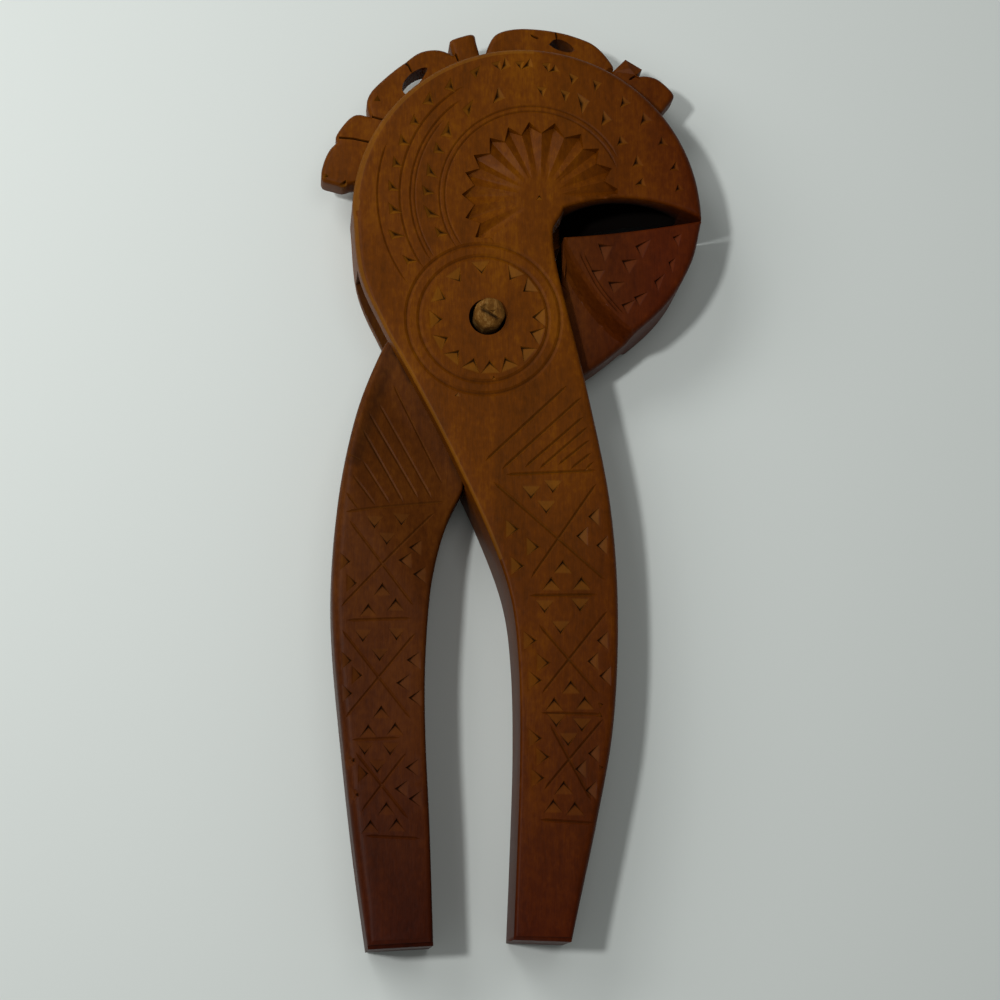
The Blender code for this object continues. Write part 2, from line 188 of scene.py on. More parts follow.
def curve(points, gap=0.9):
    """A smooth curve through every point, with a point about every gap."""
    p = np.array(points, float)
    p = np.vstack([2 * p[0] - p[1], p, 2 * p[-1] - p[-2]])
    parts = []
    for a, b, c, d in zip(p, p[1:], p[2:], p[3:]):
        steps = max(1, round(np.linalg.norm(c - b) / gap))
        t = (np.arange(steps) / steps)[:, None]
        bend = (2 * a - 5 * b + 4 * c - d) * t**2 + (3 * b - a - 3 * c + d) * t**3
        parts.append((2 * b + (c - a) * t + bend) / 2)
    return np.vstack(parts + [p[-2:-1]])


# %% Distance, inside and sides
def nearest(points, path):
    """For each point, how far the path is and how far along the path its nearest place lies."""
    start, run = path[:-1], np.diff(path, axis=0)
    length = np.linalg.norm(run, axis=1)
    along = np.r_[0, np.cumsum(length)[:-1]]
    square = np.maximum(length**2, 1e-12)
    far, place = [], []
    for some in np.array_split(points, max(1, len(points) * len(run) // 2000000)):
        offset = some[:, None] - start
        t = np.clip((offset * run).sum(2) / square, 0, 1)
        gap = np.linalg.norm(offset - t[..., None] * run, axis=2)
        best = gap.argmin(1)
        rows = np.arange(len(some))
        far.append(gap[rows, best])
        place.append(along[best] + t[rows, best] * length[best])
    return np.concatenate(far), np.concatenate(place)


def inside(points, outline):
    """Which points lie within a closed outline."""
    a, b = outline, np.roll(outline, -1, axis=0)
    found = []
    for some in np.array_split(points, max(1, len(points) * len(a) // 2000000)):
        x, y = some[:, :1], some[:, 1:]
        spans = (a[:, 1] > y) != (b[:, 1] > y)
        with np.errstate(divide="ignore", invalid="ignore"):
            cross = (b[:, 0] - a[:, 0]) * (y - a[:, 1]) / (b[:, 1] - a[:, 1]) + a[:, 0]
        found.append((spans & (x < cross)).sum(1) % 2 == 1)
    return np.concatenate(found)


def sideways(path):
    """The unit vector to the left of a path at each of its points."""
    ahead = np.gradient(path, axis=0)
    ahead /= np.maximum(np.linalg.norm(ahead, axis=1, keepdims=True), 1e-9)
    return np.c_[-ahead[:, 1], ahead[:, 0]]


# %% [markdown]
# ## The knife's marks
# Four kinds of cut make up the whole pattern. A groove is a shallow V along a line that runs out at its
# ends. A chip is a triangle: two short stabs meet at its deep corner and a slicing cut from the far side
# lifts the wood out, so its floor slopes down towards that corner. A nick is a smaller chip with a single
# stab. The fan, further on, is a row of flutes. Each cut could be a small cutter of its own, taken away
# with a Boolean, but nearly two hundred of them would be slow and fragile. Here a cut is only data: the
# lines that its faces need, and functions that say how deep it is at a point and what it does to the finish.

# %% Grooves
def groove(path, width=0.9, depth=0.3, taper=1.5, closed=False, bare_and_sheen=0.1, grime_and_shade=0.45):
    """A V cut along a path: its lines, its depth, how bare it is, and how dark its bottom is painted, part
    dirt and part shade.
    """
    path = np.array(path, float)
    along = np.r_[0, np.cumsum(np.linalg.norm(np.diff(path, axis=0), axis=1))]
    total = along[-1]
    if not closed:
        stops = np.unique(np.r_[along, taper, total - taper])
        path = np.c_[np.interp(stops, along, path[:, 0]), np.interp(stops, along, path[:, 1])]
        along = stops

    def swell(t):
        return np.ones_like(t) if closed else np.clip(np.minimum(t, total - t) / taper, 0, 1)

    def depth_at(points):
        far, place = nearest(points, path)
        full = swell(place)
        return depth * full * np.clip(1 - far / np.maximum(full * width / 2, 1e-6), 0, 1)

    def kept_at(points):
        return depth_at(points) / depth * grime_and_shade

    side = sideways(path) * (swell(along) * width / 2)[:, None]
    return [path, path + side, path - side], depth_at, bare_and_sheen, kept_at


# %% Chips and nicks
def tent(points, peak, feet):
    """A value that falls from 1 at the peak to 0 on a closed polygon round it."""
    value = np.zeros(len(points))
    for u, v in zip(feet, np.roll(feet, -1, axis=0)):
        share = np.linalg.solve(np.c_[peak - v, u - v], (points - v).T)
        within = (share > -1e-6).all(0) & (share.sum(0) < 1 + 1e-6)
        value[within] = np.maximum(value[within], share[0][within])
    return value


# Shares of a cut's length: from its corner or side to its deepest point, and from there to clean wood
CHIP_DEEP, CHIP_CLEAN = 0.16, 0.22
NICK_DEEP, NICK_CLEAN = 0.15, 0.5


def stabbed(lines, deep, feet, darkened_part, depth):
    """A cut with a deepest point: it rises to its feet, and only its deep part is painted darker, part dirt
    and part shade.
    """

    def depth_at(points):
        return depth * tent(points, deep, np.array(feet))

    def kept_at(points):
        return tent(points, deep, np.array(darkened_part))

    return [np.array(line) for line in lines], depth_at, 1.0, kept_at


def chip(deep_corner, left, right, depth=0.7):
    """A triangular chip: its floor falls towards the corner where two stabs meet."""
    a, b, c = (np.array(p, float) for p in (deep_corner, left, right))
    deep = a + (b + c - 2 * a) / 2 * CHIP_DEEP
    clean = deep + ((b + c) / 2 - deep) * CHIP_CLEAN
    lines = ((a, b, c, a), (b, deep, a), (deep, c), (b, clean, c), (deep, clean))
    return stabbed(lines, deep, (a, b, c), (a, b, clean, c), depth)


def nick(first, last, heel, depth=0.85):
    """A small chip with one stabbed side; its floor rises from there to the heel."""
    a, b, c = (np.array(p, float) for p in (first, last, heel))
    deep = (a + b) / 2 * (1 - NICK_DEEP) + c * NICK_DEEP
    clean = deep * (1 - NICK_CLEAN) + c * NICK_CLEAN
    lines = ((a, b, c, a), (a, deep, b), (deep, clean, c), (a, clean, b))
    return stabbed(lines, deep, (a, b, c), (a, b, clean), depth)


def chip_at(x, y, aim, length=3.6, half=2.4, depth=0.7):
    """A chip with its deep corner at x, y, pointing in the direction aim in degrees."""
    ahead = np.array([math.cos(math.radians(aim)), math.sin(math.radians(aim))])
    foot = np.array([x, y]) - ahead * length
    across = np.array([-ahead[1], ahead[0]]) * half
    return chip((x, y), foot + across, foot - across, depth)


def enlarged(corners, times):
    """Corners moved away from their middle."""
    corners = np.array(corners, float).reshape(-1, 2)
    return corners.mean(0) + (corners - corners.mean(0)) * times


# %% All cuts together
def deepest(cuts, points):
    """How deep the knife went at each point, how bare the wood is there, and how dark it is painted there,
    part dirt and part shade.
    """
    depth, bare_and_sheen, kept = np.zeros((3, len(points)))
    for lines, depth_at, bare_and_sheen_share, kept_at in cuts:
        corners = np.vstack(lines)
        near = ((points > corners.min(0) - 0.1) & (points < corners.max(0) + 0.1)).all(1)
        chosen = np.flatnonzero(near)
        if len(chosen):
            found = depth_at(points[chosen])
            depth[chosen] = np.maximum(depth[chosen], found)
            bare_and_sheen[chosen] = np.maximum(bare_and_sheen[chosen], found * bare_and_sheen_share)
            kept[chosen] = np.maximum(kept[chosen], kept_at(points[chosen]))
    return depth, bare_and_sheen, kept


# %% [markdown]
# ## The fan
# The rosette beside the mouth is carved with a gouge's corner: V-shaped flutes run out from a hub, get
# deeper on the way and stop at a toothed edge. It is worked out in turns and radii about the hub. A ridge
# and a floor take turns, so the depth at any point depends on how far its angle is from the nearest ridge.

# %% The fan of flutes
FAN = np.array([13.0, 31.0])
FAN_TIPS = (214.2, 197.9, 180, 163, 148.2, 130.1, 114.2, 98, 78.9, 58, 41, 23.3, 7)
FAN_TIP_RADIUS = 19.4
FAN_NOTCH_RADIUS = 16.5
FAN_HUB_RADIUS = 5.0
FAN_DEPTH = 1.5
FAN_RIDGE_DEPTH = 0.2
FAN_WALL = 0.35


def on_fan(radius, degrees):
    """Points at a radius and angle from the fan's hub."""
    a = np.radians(degrees)
    return np.stack([FAN[0] + radius * np.cos(a), FAN[1] + radius * np.sin(a)], -1)


def fan():
    """The flutes as one cut."""
    tips = np.array(FAN_TIPS, float)
    notches = np.r_[tips[0] + 8, (tips[1:] + tips[:-1]) / 2, tips[-1] - 7]
    turns = np.r_[notches[:1], np.c_[tips, notches[1:]].ravel()]
    reach = np.where(np.arange(len(turns)) % 2, FAN_TIP_RADIUS, FAN_NOTCH_RADIUS)
    rim = on_fan(reach, turns)
    floor = on_fan(reach - np.where(np.arange(len(turns)) % 2, 2.2, 0.9) * FAN_WALL, turns)
    hub = on_fan(FAN_HUB_RADIUS, turns)
    edge = np.vstack([rim, hub[::-1], rim[:1]])

    def depth_at(points):
        offset = points - FAN
        radius = np.linalg.norm(offset, axis=1)
        angle = np.degrees(np.arctan2(offset[:, 1], offset[:, 0]))
        angle = np.where(angle < turns[-1] - 1e-6, angle + 360, angle)
        place = np.interp(angle, turns[::-1], np.arange(len(turns))[::-1])
        to_ridge = np.abs(((place + 1) % 2) - 1)
        rise = np.clip((radius - FAN_HUB_RADIUS) / (FAN_NOTCH_RADIUS - FAN_HUB_RADIUS), 0, 1.15)
        full = rise * (FAN_RIDGE_DEPTH + (FAN_DEPTH - FAN_RIDGE_DEPTH) * to_ridge)
        wall = np.clip(nearest(points, rim)[0] / FAN_WALL, 0, 1)
        covered = inside(points, edge[:-1]) & (angle <= turns[0] + 1e-6)
        return np.where(covered, full * wall, 0)

    spokes = [np.array([hub[i], floor[i], rim[i]]) for i in range(len(turns))]
    return [edge, floor] + spokes, depth_at, 0.02, lambda points: np.zeros(len(points))


# %% [markdown]
# ## From cuts to a solid board
# The outline gets several rings inside it for its rounded edge. The rounding isn't the same all round:
# where a hand grips the tool the edge is worn to a broad curve, and inside the joint it stays crisp. A
# Bevel modifier would give one width everywhere and trip over the carving, so the rings are set out in
# the sheet itself, and each point drops by what a quarter circle gives at its distance from the edge.

# %% The sheet of triangles
EDGE_RINGS = np.radians(np.linspace(0, 90, 8))[1:]


def kept_runs(path, clear_of, outline):
    """The stretches of a path that stay inside an outline, at a distance from its edge."""
    closed = np.vstack([outline, outline[:1]])
    steps = np.diff(path, axis=0)

    def fine(points, share):
        return (nearest(points, closed)[0] > clear_of * share) & inside(points, outline)

    keep = fine(path, 1.0)
    joined = keep[1:] & keep[:-1]
    for share in (0.25, 0.5, 0.75):
        joined &= fine(path[:-1] + steps * share, 0.9)
    marks = np.flatnonzero(np.diff(np.r_[0, joined.astype(int), 0]))
    return [path[a : b + 1] for a, b in zip(marks[::2], marks[1::2])]


def sheet(outline, radii, lines, spacing):
    """Points and triangles that fill an outline and follow the given lines."""
    closed = np.vstack([outline, outline[:1]])
    area = (outline[:, 0] * np.roll(outline[:, 1], -1) - outline[:, 1] * np.roll(outline[:, 0], -1)).sum()
    around = np.vstack([outline[-1:], outline, outline[:1]])
    inward = sideways(around)[1:-1] * math.copysign(1, area)
    wanted = []
    for angle in EDGE_RINGS:
        inset = radii * (1 - math.cos(angle))
        ring = outline + inward * inset[:, None]
        beyond = nearest(ring, closed)[0] / np.maximum(inset, 1e-6)
        ring = ring[(beyond > 0.93) & inside(ring, outline)]
        wanted += kept_runs(np.vstack([ring, ring[:1]]), 0.9 * inset.min(), outline)
    for line in lines:
        wanted += kept_runs(line, 0.3, outline)
    low, high = outline.min(0), outline.max(0)
    grid = np.stack(np.meshgrid(*(np.arange(a, b, spacing) for a, b in zip(low, high))), -1).reshape(-1, 2)
    grid[:, 0] += (np.round(grid[:, 1] / spacing) % 2) * spacing / 2
    grid = grid[inside(grid, outline)]
    grid = grid[nearest(grid, closed)[0] > radii.max() + spacing / 3]
    points = [outline]
    edges = [(i, (i + 1) % len(outline)) for i in range(len(outline))]
    count = len(outline)
    for path in wanted:
        points.append(path)
        edges += [(count + i, count + i + 1) for i in range(len(path) - 1)]
        count += len(path)
    points = np.vstack(points + [grid])
    made = delaunay_2d_cdt([Vector(p) for p in points], edges, [], 0, 2e-3)
    plan = np.array([tuple(v) for v in made[0]])
    triangles = np.array([f for f in made[2] if len(f) == 3])
    triangles = triangles[inside(plan[triangles].mean(1), outline)]
    new_index = {old: new for new, olds in enumerate(made[3]) for old in olds}
    rim = [new_index[i] for i in range(len(outline))]
    return plan, triangles, rim


# %% A closed board
def board(name, outline, radii, front, back, cuts=(), guides=(), spacing=2.0, back_outline=None):
    """One closed piece: a carved front and a plain back on an outline with rounded edges."""
    around = np.r_[radii, radii[:1]]
    front_lines = list(guides) + [line for cut in cuts for line in cut[0]]
    bm = bmesh.new()
    rims = []
    for side, lines, level in ((1, front_lines, front), (-1, list(guides), back)):
        if side < 0 and back_outline is not None:
            outline = back_outline
        closed = np.vstack([outline, outline[:1]])
        along = np.r_[0, np.cumsum(np.linalg.norm(np.diff(closed, axis=0), axis=1))]
        plan, triangles, rim = sheet(outline, radii, lines, spacing if side > 0 else 3 * spacing)
        far, place = nearest(plan, closed)
        radius = np.interp(place, along, around)
        inset = np.clip(radius - far, 0, radius)
        drop = radius - np.sqrt(np.maximum(radius**2 - inset**2, 0))
        depth = deepest(cuts if side > 0 else (), plan)[0]
        height = level(plan) - side * (drop + depth)
        verts = [bm.verts.new((*p, z)) for p, z in zip(plan, height)]
        for a, b, c in triangles:
            bm.faces.new((verts[a], verts[b], verts[c]))
        rims.append([verts[i] for i in rim])
    top, bottom = rims
    for i in range(len(top)):
        j = (i + 1) % len(top)
        bm.faces.new((top[i], top[j], bottom[j], bottom[i]))
    bmesh.ops.delete(bm, geom=[v for v in bm.verts if not v.link_faces], context="VERTS")
    bmesh.ops.recalc_face_normals(bm, faces=bm.faces)
    open_edges = sum(len(e.link_faces) != 2 for e in bm.edges)
    mesh = bpy.data.meshes.new(name)
    bm.to_mesh(mesh)
    bm.free()
    print(name, "has", len(mesh.polygons), "faces and", open_edges, "open edges")
    return mesh


def flat(level):
    """A level surface."""
    return lambda points: np.full(len(points), float(level))


def softened(radii, reach=7):
    """Edge radii that change gradually along the outline."""
    kernel = np.ones(2 * reach + 1) / (2 * reach + 1)
    return np.convolve(np.r_[radii[-reach:], radii, radii[:reach]], kernel, "valid")


# %% [markdown]
# ## The head lever's outline
# The head is a true circle, the upper jaw's roof is a shallow arc, and the handle's edges are drawn with
# the smooth sweep of a bow saw. Each stretch has the edge radius that wear and the knife gave it.

# %% Head lever: outline
PLANK = 23.0
HEAD = (10.0, 26.4)
HEAD_RADIUS = 43.2
MOUTH_ROOT = (19.0, 28.3)
MOUTH_ROOF = 31.1
JAW_TIP_DROP = 0.4
NOSE_TO_HANDLE = (
    (19.0, 28.3), (18.2, 26.4), (16.5, 23.6), (16.2, 20.9), (17.0, 14.0), (19.8, 1.9), (25.0, -20.3),
    (29.9, -45.8), (31.6, -71.0), (30.4, -98.0), (26.4, -121.0), (19.9, -150.3),
)
HANDLE_TO_NECK = (
    (6.3, -149.9), (7.2, -128.0), (7.9, -105.0), (7.5, -84.0), (5.3, -67.5), (-1.1, -50.0),
    (-10.1, -31.0), (-18.7, -14.6), (-25.6, -2.1), (-31.3, 11.1),
)

crown = arc(HEAD, HEAD_RADIUS, 178, 0)
roof_middle = (crown[-1][0] + MOUTH_ROOT[0]) / 2
roof = arc_through(crown[-1], (roof_middle, MOUTH_ROOF), MOUTH_ROOT)[1:-1]
cheek_edge = curve(NOSE_TO_HANDLE)
neck_edge = curve(HANDLE_TO_NECK + (tuple(crown[0]),))[:-1]
head_outline = np.vstack([crown, roof, cheek_edge, neck_edge])
head_radii = softened(np.r_[
    np.full(len(crown), 2.0),
    np.full(len(roof), 1.0),
    np.interp(cheek_edge[:, 1], (-151, -147, -140, -60, -20, 28), (1.0, 1.0, 1.8, 1.8, 1.2, 1.0)),
    np.interp(neck_edge[:, 1], (-151, -100, 0, 12), (0.9, 0.8, 1.0, 1.8)),
])
print("head lever outline:", len(head_outline), "points")

# %% [markdown]
# ## The head lever's pattern
# A compass with a sharp point scored the rings round the peg and the bands round the fan, and a knife
# deepened them. The nicks and the chips stand in rows, but the eye alone set each one, so their places are
# written down one by one; evenly spaced copies would look machine-made. A chip is only its deep corner and
# the way it points, because all chips of a kind come from the same knife and the same push of the hand.

# %% Head lever: rings and bands
head_cuts = [fan()]
RING_CENTRE = (-0.9, -0.5)
for radius in (15.8, 18.8):
    ring = arc(RING_CENTRE, radius, 0, 360, 1.0)
    head_cuts.append(groove(ring, 1.4, 0.36, closed=True, grime_and_shade=0.42))
BAND_CENTRE = (11.5, 31.0)
BANDS = (
    # radius, first and last angle, width, depth
    (22.0, 218, 20, 0.8, 0.22),
    (23.3, 217, 26, 0.8, 0.22),
    (29.4, 215, 138, 0.7, 0.16),
    (30.4, 215, 126, 0.9, 0.28),
    (33.0, 216, 122, 1.0, 0.3),
    (38.5, 217, 160, 0.9, 0.28),
)
for radius, first, last, width, depth in BANDS:
    line = arc(BAND_CENTRE, radius, first, last, 1.2)
    head_cuts.append(groove(line, width, depth, taper=3))

# %% Head lever: rows of nicks
NICK_SCALE = 1.2
NICKS = (
    # both ends of the stabbed side, then the heel
    (-24.2, 21.4, -20.5, 20.0, -23.4, 19.2), (-24.2, 28.2, -21.2, 26.0, -23.9, 25.6),
    (-24.3, 34.0, -21.9, 31.6, -24.2, 31.5), (-23.1, 40.2, -21.1, 37.7, -23.4, 37.6),
    (-21.4, 45.9, -19.3, 43.4, -21.9, 43.3), (-18.2, 51.1, -16.8, 48.6, -19.2, 48.8),
    (-14.4, 57.1, -13.5, 54.0, -16.0, 54.2), (-9.2, 60.8, -8.3, 57.6, -10.6, 58.3),
    (-2.0, 64.3, -2.9, 61.2, -4.3, 62.9), (1.0, 65.2, 3.4, 63.4, 3.0, 65.8),
    (4.4, 66.8, 3.5, 63.5, 5.6, 64.6), (7.0, 65.7, 8.4, 63.8, 9.0, 66.0),
    (10.6, 66.7, 8.5, 63.9, 11.2, 64.6), (13.6, 65.5, 15.3, 63.4, 15.6, 65.8),
    (16.9, 65.2, 15.4, 63.4, 17.8, 63.6), (20.4, 63.2, 21.1, 60.3, 22.6, 62.2),
    (26.4, 61.6, 26.9, 58.8, 28.4, 60.9), (33.8, 57.4, 33.2, 54.7, 35.6, 55.8),
    (38.9, 53.3, 38.2, 50.2, 40.9, 51.4), (43.5, 47.1, 42.6, 45.1, 45.0, 45.0),
    (46.9, 40.8, 45.4, 38.7, 47.6, 38.6), (47.4, 35.2, 46.7, 33.2, 48.8, 33.6),
    (-12.8, 22.3, -9.8, 20.7, -12.2, 20.0), (-15.5, 27.7, -11.8, 25.1, -14.6, 24.9),
    (-16.0, 32.9, -13.1, 31.1, -15.6, 30.6), (-14.7, 38.6, -12.5, 35.2, -15.0, 35.7),
    (-12.7, 44.1, -10.7, 41.5, -13.3, 41.6), (-9.7, 49.4, -8.9, 45.7, -11.5, 46.0),
    (-3.8, 55.3, -4.7, 51.1, -6.2, 53.0), (2.7, 58.8, 1.5, 54.9, 4.2, 56.2),
    (12.3, 59.4, 13.8, 56.9, 14.6, 59.2), (18.2, 58.8, 19.4, 55.8, 20.5, 58.2),
    (22.5, 57.8, 23.6, 53.0, 25.2, 56.0), (28.9, 53.5, 28.4, 49.8, 30.8, 51.3),
    (33.1, 47.1, 32.3, 44.7, 34.9, 45.3), (37.2, 42.1, 36.1, 39.3, 38.6, 39.6),
    (38.5, 36.3, 36.8, 34.6, 39.3, 34.2), (-20.6, 14.9, -17.4, 13.7, -19.6, 12.9),
)
for corners in NICKS:
    head_cuts.append(nick(*enlarged(corners, NICK_SCALE)))
print("head lever:", len(NICKS), "nicks")

# %% Head lever: chips round the peg, and small marks
RING_CHIPS = (1, -19, -42, -67, -87, -107, -129, -151, -176, -203, -233, -263, -300, -323)
RING_CHIP_RADIUS = 10.8
for angle in RING_CHIPS:
    a = math.radians(angle)
    corner = (RING_CHIP_RADIUS * math.cos(a), RING_CHIP_RADIUS * math.sin(a))
    head_cuts.append(chip_at(*corner, angle + 180, 3.6, 2.5))
MARKS = (
    # the compass's point, knots and dents: place, direction, length and half the width
    (12.8, 31.4, 90, 1.5, 0.9), (27.7, -94.5, 20, 1.1, 0.7), (27.5, -97.6, -30, 1.3, 0.8),
    (27.6, -109.5, 10, 1.0, 0.6), (-8.0, -20.0, 200, 1.3, 0.6), (1.5, -14.8, 100, 0.9, 0.5),
)
for mark in MARKS:
    head_cuts.append(chip_at(*mark, 0.45))

# %% Head lever: the handle's pattern
HEAD_LINES = (
    # start and end of each straight cut
    (-0.5, -36.0, 19.5, -16.8), (3.5, -38.0, 23.0, -19.7), (9.0, -37.5, 23.5, -24.5),
    (12.5, -37.8, 24.5, -27.0), (17.0, -36.8, 25.0, -30.2), (20.0, -37.8, 25.5, -33.3),
    (23.5, -38.0, 26.0, -35.5), (4.5, -39.2, 26.5, -37.8), (1.5, -41.0, 28.5, -64.7),
    (26.5, -41.0, 10.5, -64.5), (10.0, -68.7, 26.5, -68.2), (29.0, -72.0, 13.0, -92.3),
    (12.3, -75.5, 26.5, -92.0), (12.7, -96.8, 27.2, -97.0), (27.8, -98.0, 13.5, -115.0),
    (15.0, -99.5, 24.8, -117.5), (12.3, -122.0, 25.6, -122.8),
)
HEAD_CHIPS = {
    # direction of the deep corner, and where each chip has it
    -90: ((10.6, -45.2), (15.9, -43.7), (14.3, -48.8), (13.8, -73.0), (22.3, -72.5), (17.6, -78.0),
          (16.5, -100.3), (22.6, -101.3), (19.3, -104.8)),
    0: ((7.8, -52.5), (12.8, -56.8), (9.0, -61.5), (12.0, -79.5), (15.2, -84.8), (13.2, -89.0),
        (13.2, -102.8), (15.0, -107.2), (13.8, -112.2)),
    180: ((24.3, -49.2), (21.4, -54.0), (26.2, -56.2), (26.2, -79.3), (23.9, -84.3), (26.7, -87.8),
          (23.9, -106.3), (20.8, -110.0), (23.2, -115.0)),
    90: ((18.2, -59.8), (15.4, -64.0), (22.7, -63.8), (20.0, -88.8), (16.0, -93.0), (23.3, -92.6),
         (18.2, -112.7), (15.7, -117.0), (20.8, -117.6)),
}
for x0, y0, x1, y1 in HEAD_LINES:
    head_cuts.append(groove(((x0, y0), (x1, y1)), 0.9, 0.33, bare_and_sheen=0.3, grime_and_shade=0.5))
# the chips along the handle's outer edge are shorter than the others
for aim, places in HEAD_CHIPS.items():
    for x, y in places:
        head_cuts.append(chip_at(x, y, aim, 2.9 if aim == 180 else 3.6))
print("head lever:", len(head_cuts), "cuts")

# %% [markdown]
# ## The head lever's board
# Planing and years of handling leave a face with very slight hollows, which only the gloss gives away. The
# roof of the mouth isn't square to the face either: it was cut on a slant, and leans in below its front
# lip. The two sheets of a board may differ in outline as long as their points match one to one, so the
# back sheet gets the leaning stretches and the wall between the sheets takes the slant by itself.

# %% Head lever: the board
def worn(points):
    """The hand-planed face: very slight hollows, some tens of millimetres across."""
    x, y = points[:, 0], points[:, 1]
    return 0.05 * np.sin(x / 7.3 + 0.6) * np.cos(y / 11.0) + 0.03 * np.sin((x + y) / 4.7)


# how much lower the roof lies at the back, at its middle and at its root; the cheek gives way above its waist
MOUTH_LEAN = 3.0
MOUTH_ROOT_LEAN = 6.6
WAIST = 20.9
back_root = MOUTH_ROOT[1] - MOUTH_ROOT_LEAN
back_arc = arc_through(crown[-1], (roof_middle, MOUTH_ROOF - MOUTH_LEAN), (MOUTH_ROOT[0], back_root))
back_steps = np.linspace(0, len(back_arc) - 1, len(roof) + 2)[1:-1]
back_roof = np.column_stack([np.interp(back_steps, np.arange(len(back_arc)), side) for side in back_arc.T])

# beside the jaw's heel the cheek leans the same way, so that no light comes up through the gap
HEEL_LEAN = 2.2
HEEL_HEIGHT = 20.0
HEEL_REACH = 4.0
back_cheek = cheek_edge.copy()
back_cheek[:, 0] += HEEL_LEAN * np.exp(-(((back_cheek[:, 1] - HEEL_HEIGHT) / HEEL_REACH) ** 2))
above = back_cheek[:, 1] > WAIST
height, back_height = MOUTH_ROOT[1] - WAIST, back_root - WAIST
back_cheek[above, 1] = WAIST + (back_cheek[above, 1] - WAIST) * back_height / height
head_back = np.vstack([crown, back_roof, back_cheek, neck_edge])
head_mesh = board(
    "head_lever_board",
    head_outline,
    head_radii,
    lambda p: PLANK - 0.1 + worn(p),
    flat(0.0),
    head_cuts,
    back_outline=head_back,
)

# %% [markdown]
# ## The mane
# The mane is cut from the same plank, but thinned from both faces, so it stands behind the head's rim like
# a step. Its tufts are sawn with a fretsaw and split by short slits. A board of its own gets that outline
# with little work, and it reaches a few millimetres under the head, where it is joined to it as one piece.

# %% The mane
MANE_TOP = 15.5
MANE_UNDER = 7.5
MANE_TUFTS = (
    ((-33.6, 35.5), (-35.5, 34.8), (-37.8, 35.3), (-40.4, 36.1), (-40.8, 37.8), (-40.5, 40.0),
     (-39.6, 42.8), (-38.4, 44.9), (-37.0, 46.3)),
    ((-37.0, 46.3), (-37.3, 47.8), (-36.0, 50.2), (-34.0, 52.7), (-32.2, 53.8), (-30.4, 53.7),
     (-28.8, 53.2)),
    ((-28.8, 53.2), (-29.5, 55.2), (-29.6, 57.5), (-28.5, 60.0), (-26.0, 62.8), (-23.0, 65.6),
     (-20.0, 68.0), (-17.3, 70.2), (-15.0, 71.2), (-12.5, 71.5), (-10.2, 71.1), (-8.0, 69.9)),
    ((-8.0, 69.9), (-8.8, 72.0), (-8.9, 73.9), (-6.0, 75.2), (-3.0, 75.8), (-2.3, 73.6), (-1.4, 70.4)),
    ((-1.4, 70.0), (-0.2, 70.0)),
    ((-0.2, 70.0), (0.8, 73.0), (2.0, 75.3), (3.6, 76.6), (6.0, 77.4), (9.0, 77.8), (12.0, 77.8),
     (15.0, 77.6), (18.0, 77.2), (21.0, 76.6), (24.5, 75.5), (27.0, 74.4), (29.0, 72.8), (31.0, 70.5),
     (32.4, 68.4), (32.4, 67.2)),
    ((32.4, 67.2), (35.6, 70.5), (39.8, 68.0), (38.7, 66.0)),
    ((38.7, 66.0), (41.0, 66.1), (43.3, 65.5), (45.2, 64.2), (46.9, 62.6), (47.8, 61.2), (47.4, 60.0),
     (46.0, 58.2), (44.8, 56.6)),
)
MANE_ROOT = 3.0
tufts = [curve(t, 0.8)[:-1] if len(t) > 4 else np.array(t, float)[:-1] for t in MANE_TUFTS]
root = arc(HEAD, HEAD_RADIUS - MANE_ROOT, 40, 166)
mane_outline = np.vstack(tufts + [np.array([MANE_TUFTS[-1][-1]]), root])
mane_radii = softened(np.r_[np.full(len(mane_outline) - len(root), 1.3), np.full(len(root), 0.4)], 3)
SLITS = (
    ((-37.0, 47.4), (-33.0, 47.2), (-28.0, 46.2)), ((-28.9, 53.3), (-27.0, 52.7), (-24.8, 52.1)),
    ((-20.2, 68.2), (-19.3, 66.8), (-18.4, 64.8)), ((-7.6, 70.6), (-7.2, 69.4), (-6.7, 68.0)),
    ((17.8, 77.4), (17.9, 76.2), (18.1, 74.6)), ((39.2, 66.5), (37.8, 65.7), (36.2, 64.6)),
    ((11.3, 76.0), (12.2, 75.4), (13.6, 74.8)),
)
mane_cuts = [groove(path, 0.6, 0.9, taper=0.6, grime_and_shade=1.0) for path in SLITS]
mane_cuts.append(chip_at(-26.2, 57.2, -30, 1.5, 0.9, 1.2))
mane_cuts.append(chip_at(-34.7, 36.4, 75, 1.9, 1.2, 1.6))
mane_cuts.append(chip_at(-39.0, 37.4, 20, 1.6, 0.6, 1.0))


def domed(points):
    """The tufts swell a little between their cuts."""
    x, y = points[:, 0], points[:, 1]
    return MANE_TOP + 0.12 * np.sin(x / 2.9) * np.cos(y / 3.3)


mane_mesh = board("mane_board", mane_outline, mane_radii, domed, flat(MANE_UNDER), mane_cuts, spacing=1.5)

# %% [markdown]
# ## Mortise, bores, cup and eyelets
# Everything that was sawn, bored or gouged out of the plank is taken away as one closed block each. A
# Boolean modifier is the right tool, because every block runs clean through a wall, and the MANIFOLD
# solver keeps closed meshes closed. The result is then kept as the piece's own mesh, so the blocks can go.

# %% Cutters
def prism(name, outline, low, high):
    """A plain closed block with an outline, used to cut wood away."""
    bm = bmesh.new()
    foot = bm.faces.new([bm.verts.new((*p, low)) for p in outline])
    made = bmesh.ops.extrude_face_region(bm, geom=[foot])
    top = [v for v in made["geom"] if isinstance(v, bmesh.types.BMVert)]
    bmesh.ops.translate(bm, verts=top, vec=(0, 0, high - low))
    bmesh.ops.recalc_face_normals(bm, faces=bm.faces)
    mesh = bpy.data.meshes.new(name)
    bm.to_mesh(mesh)
    bm.free()
    return mesh


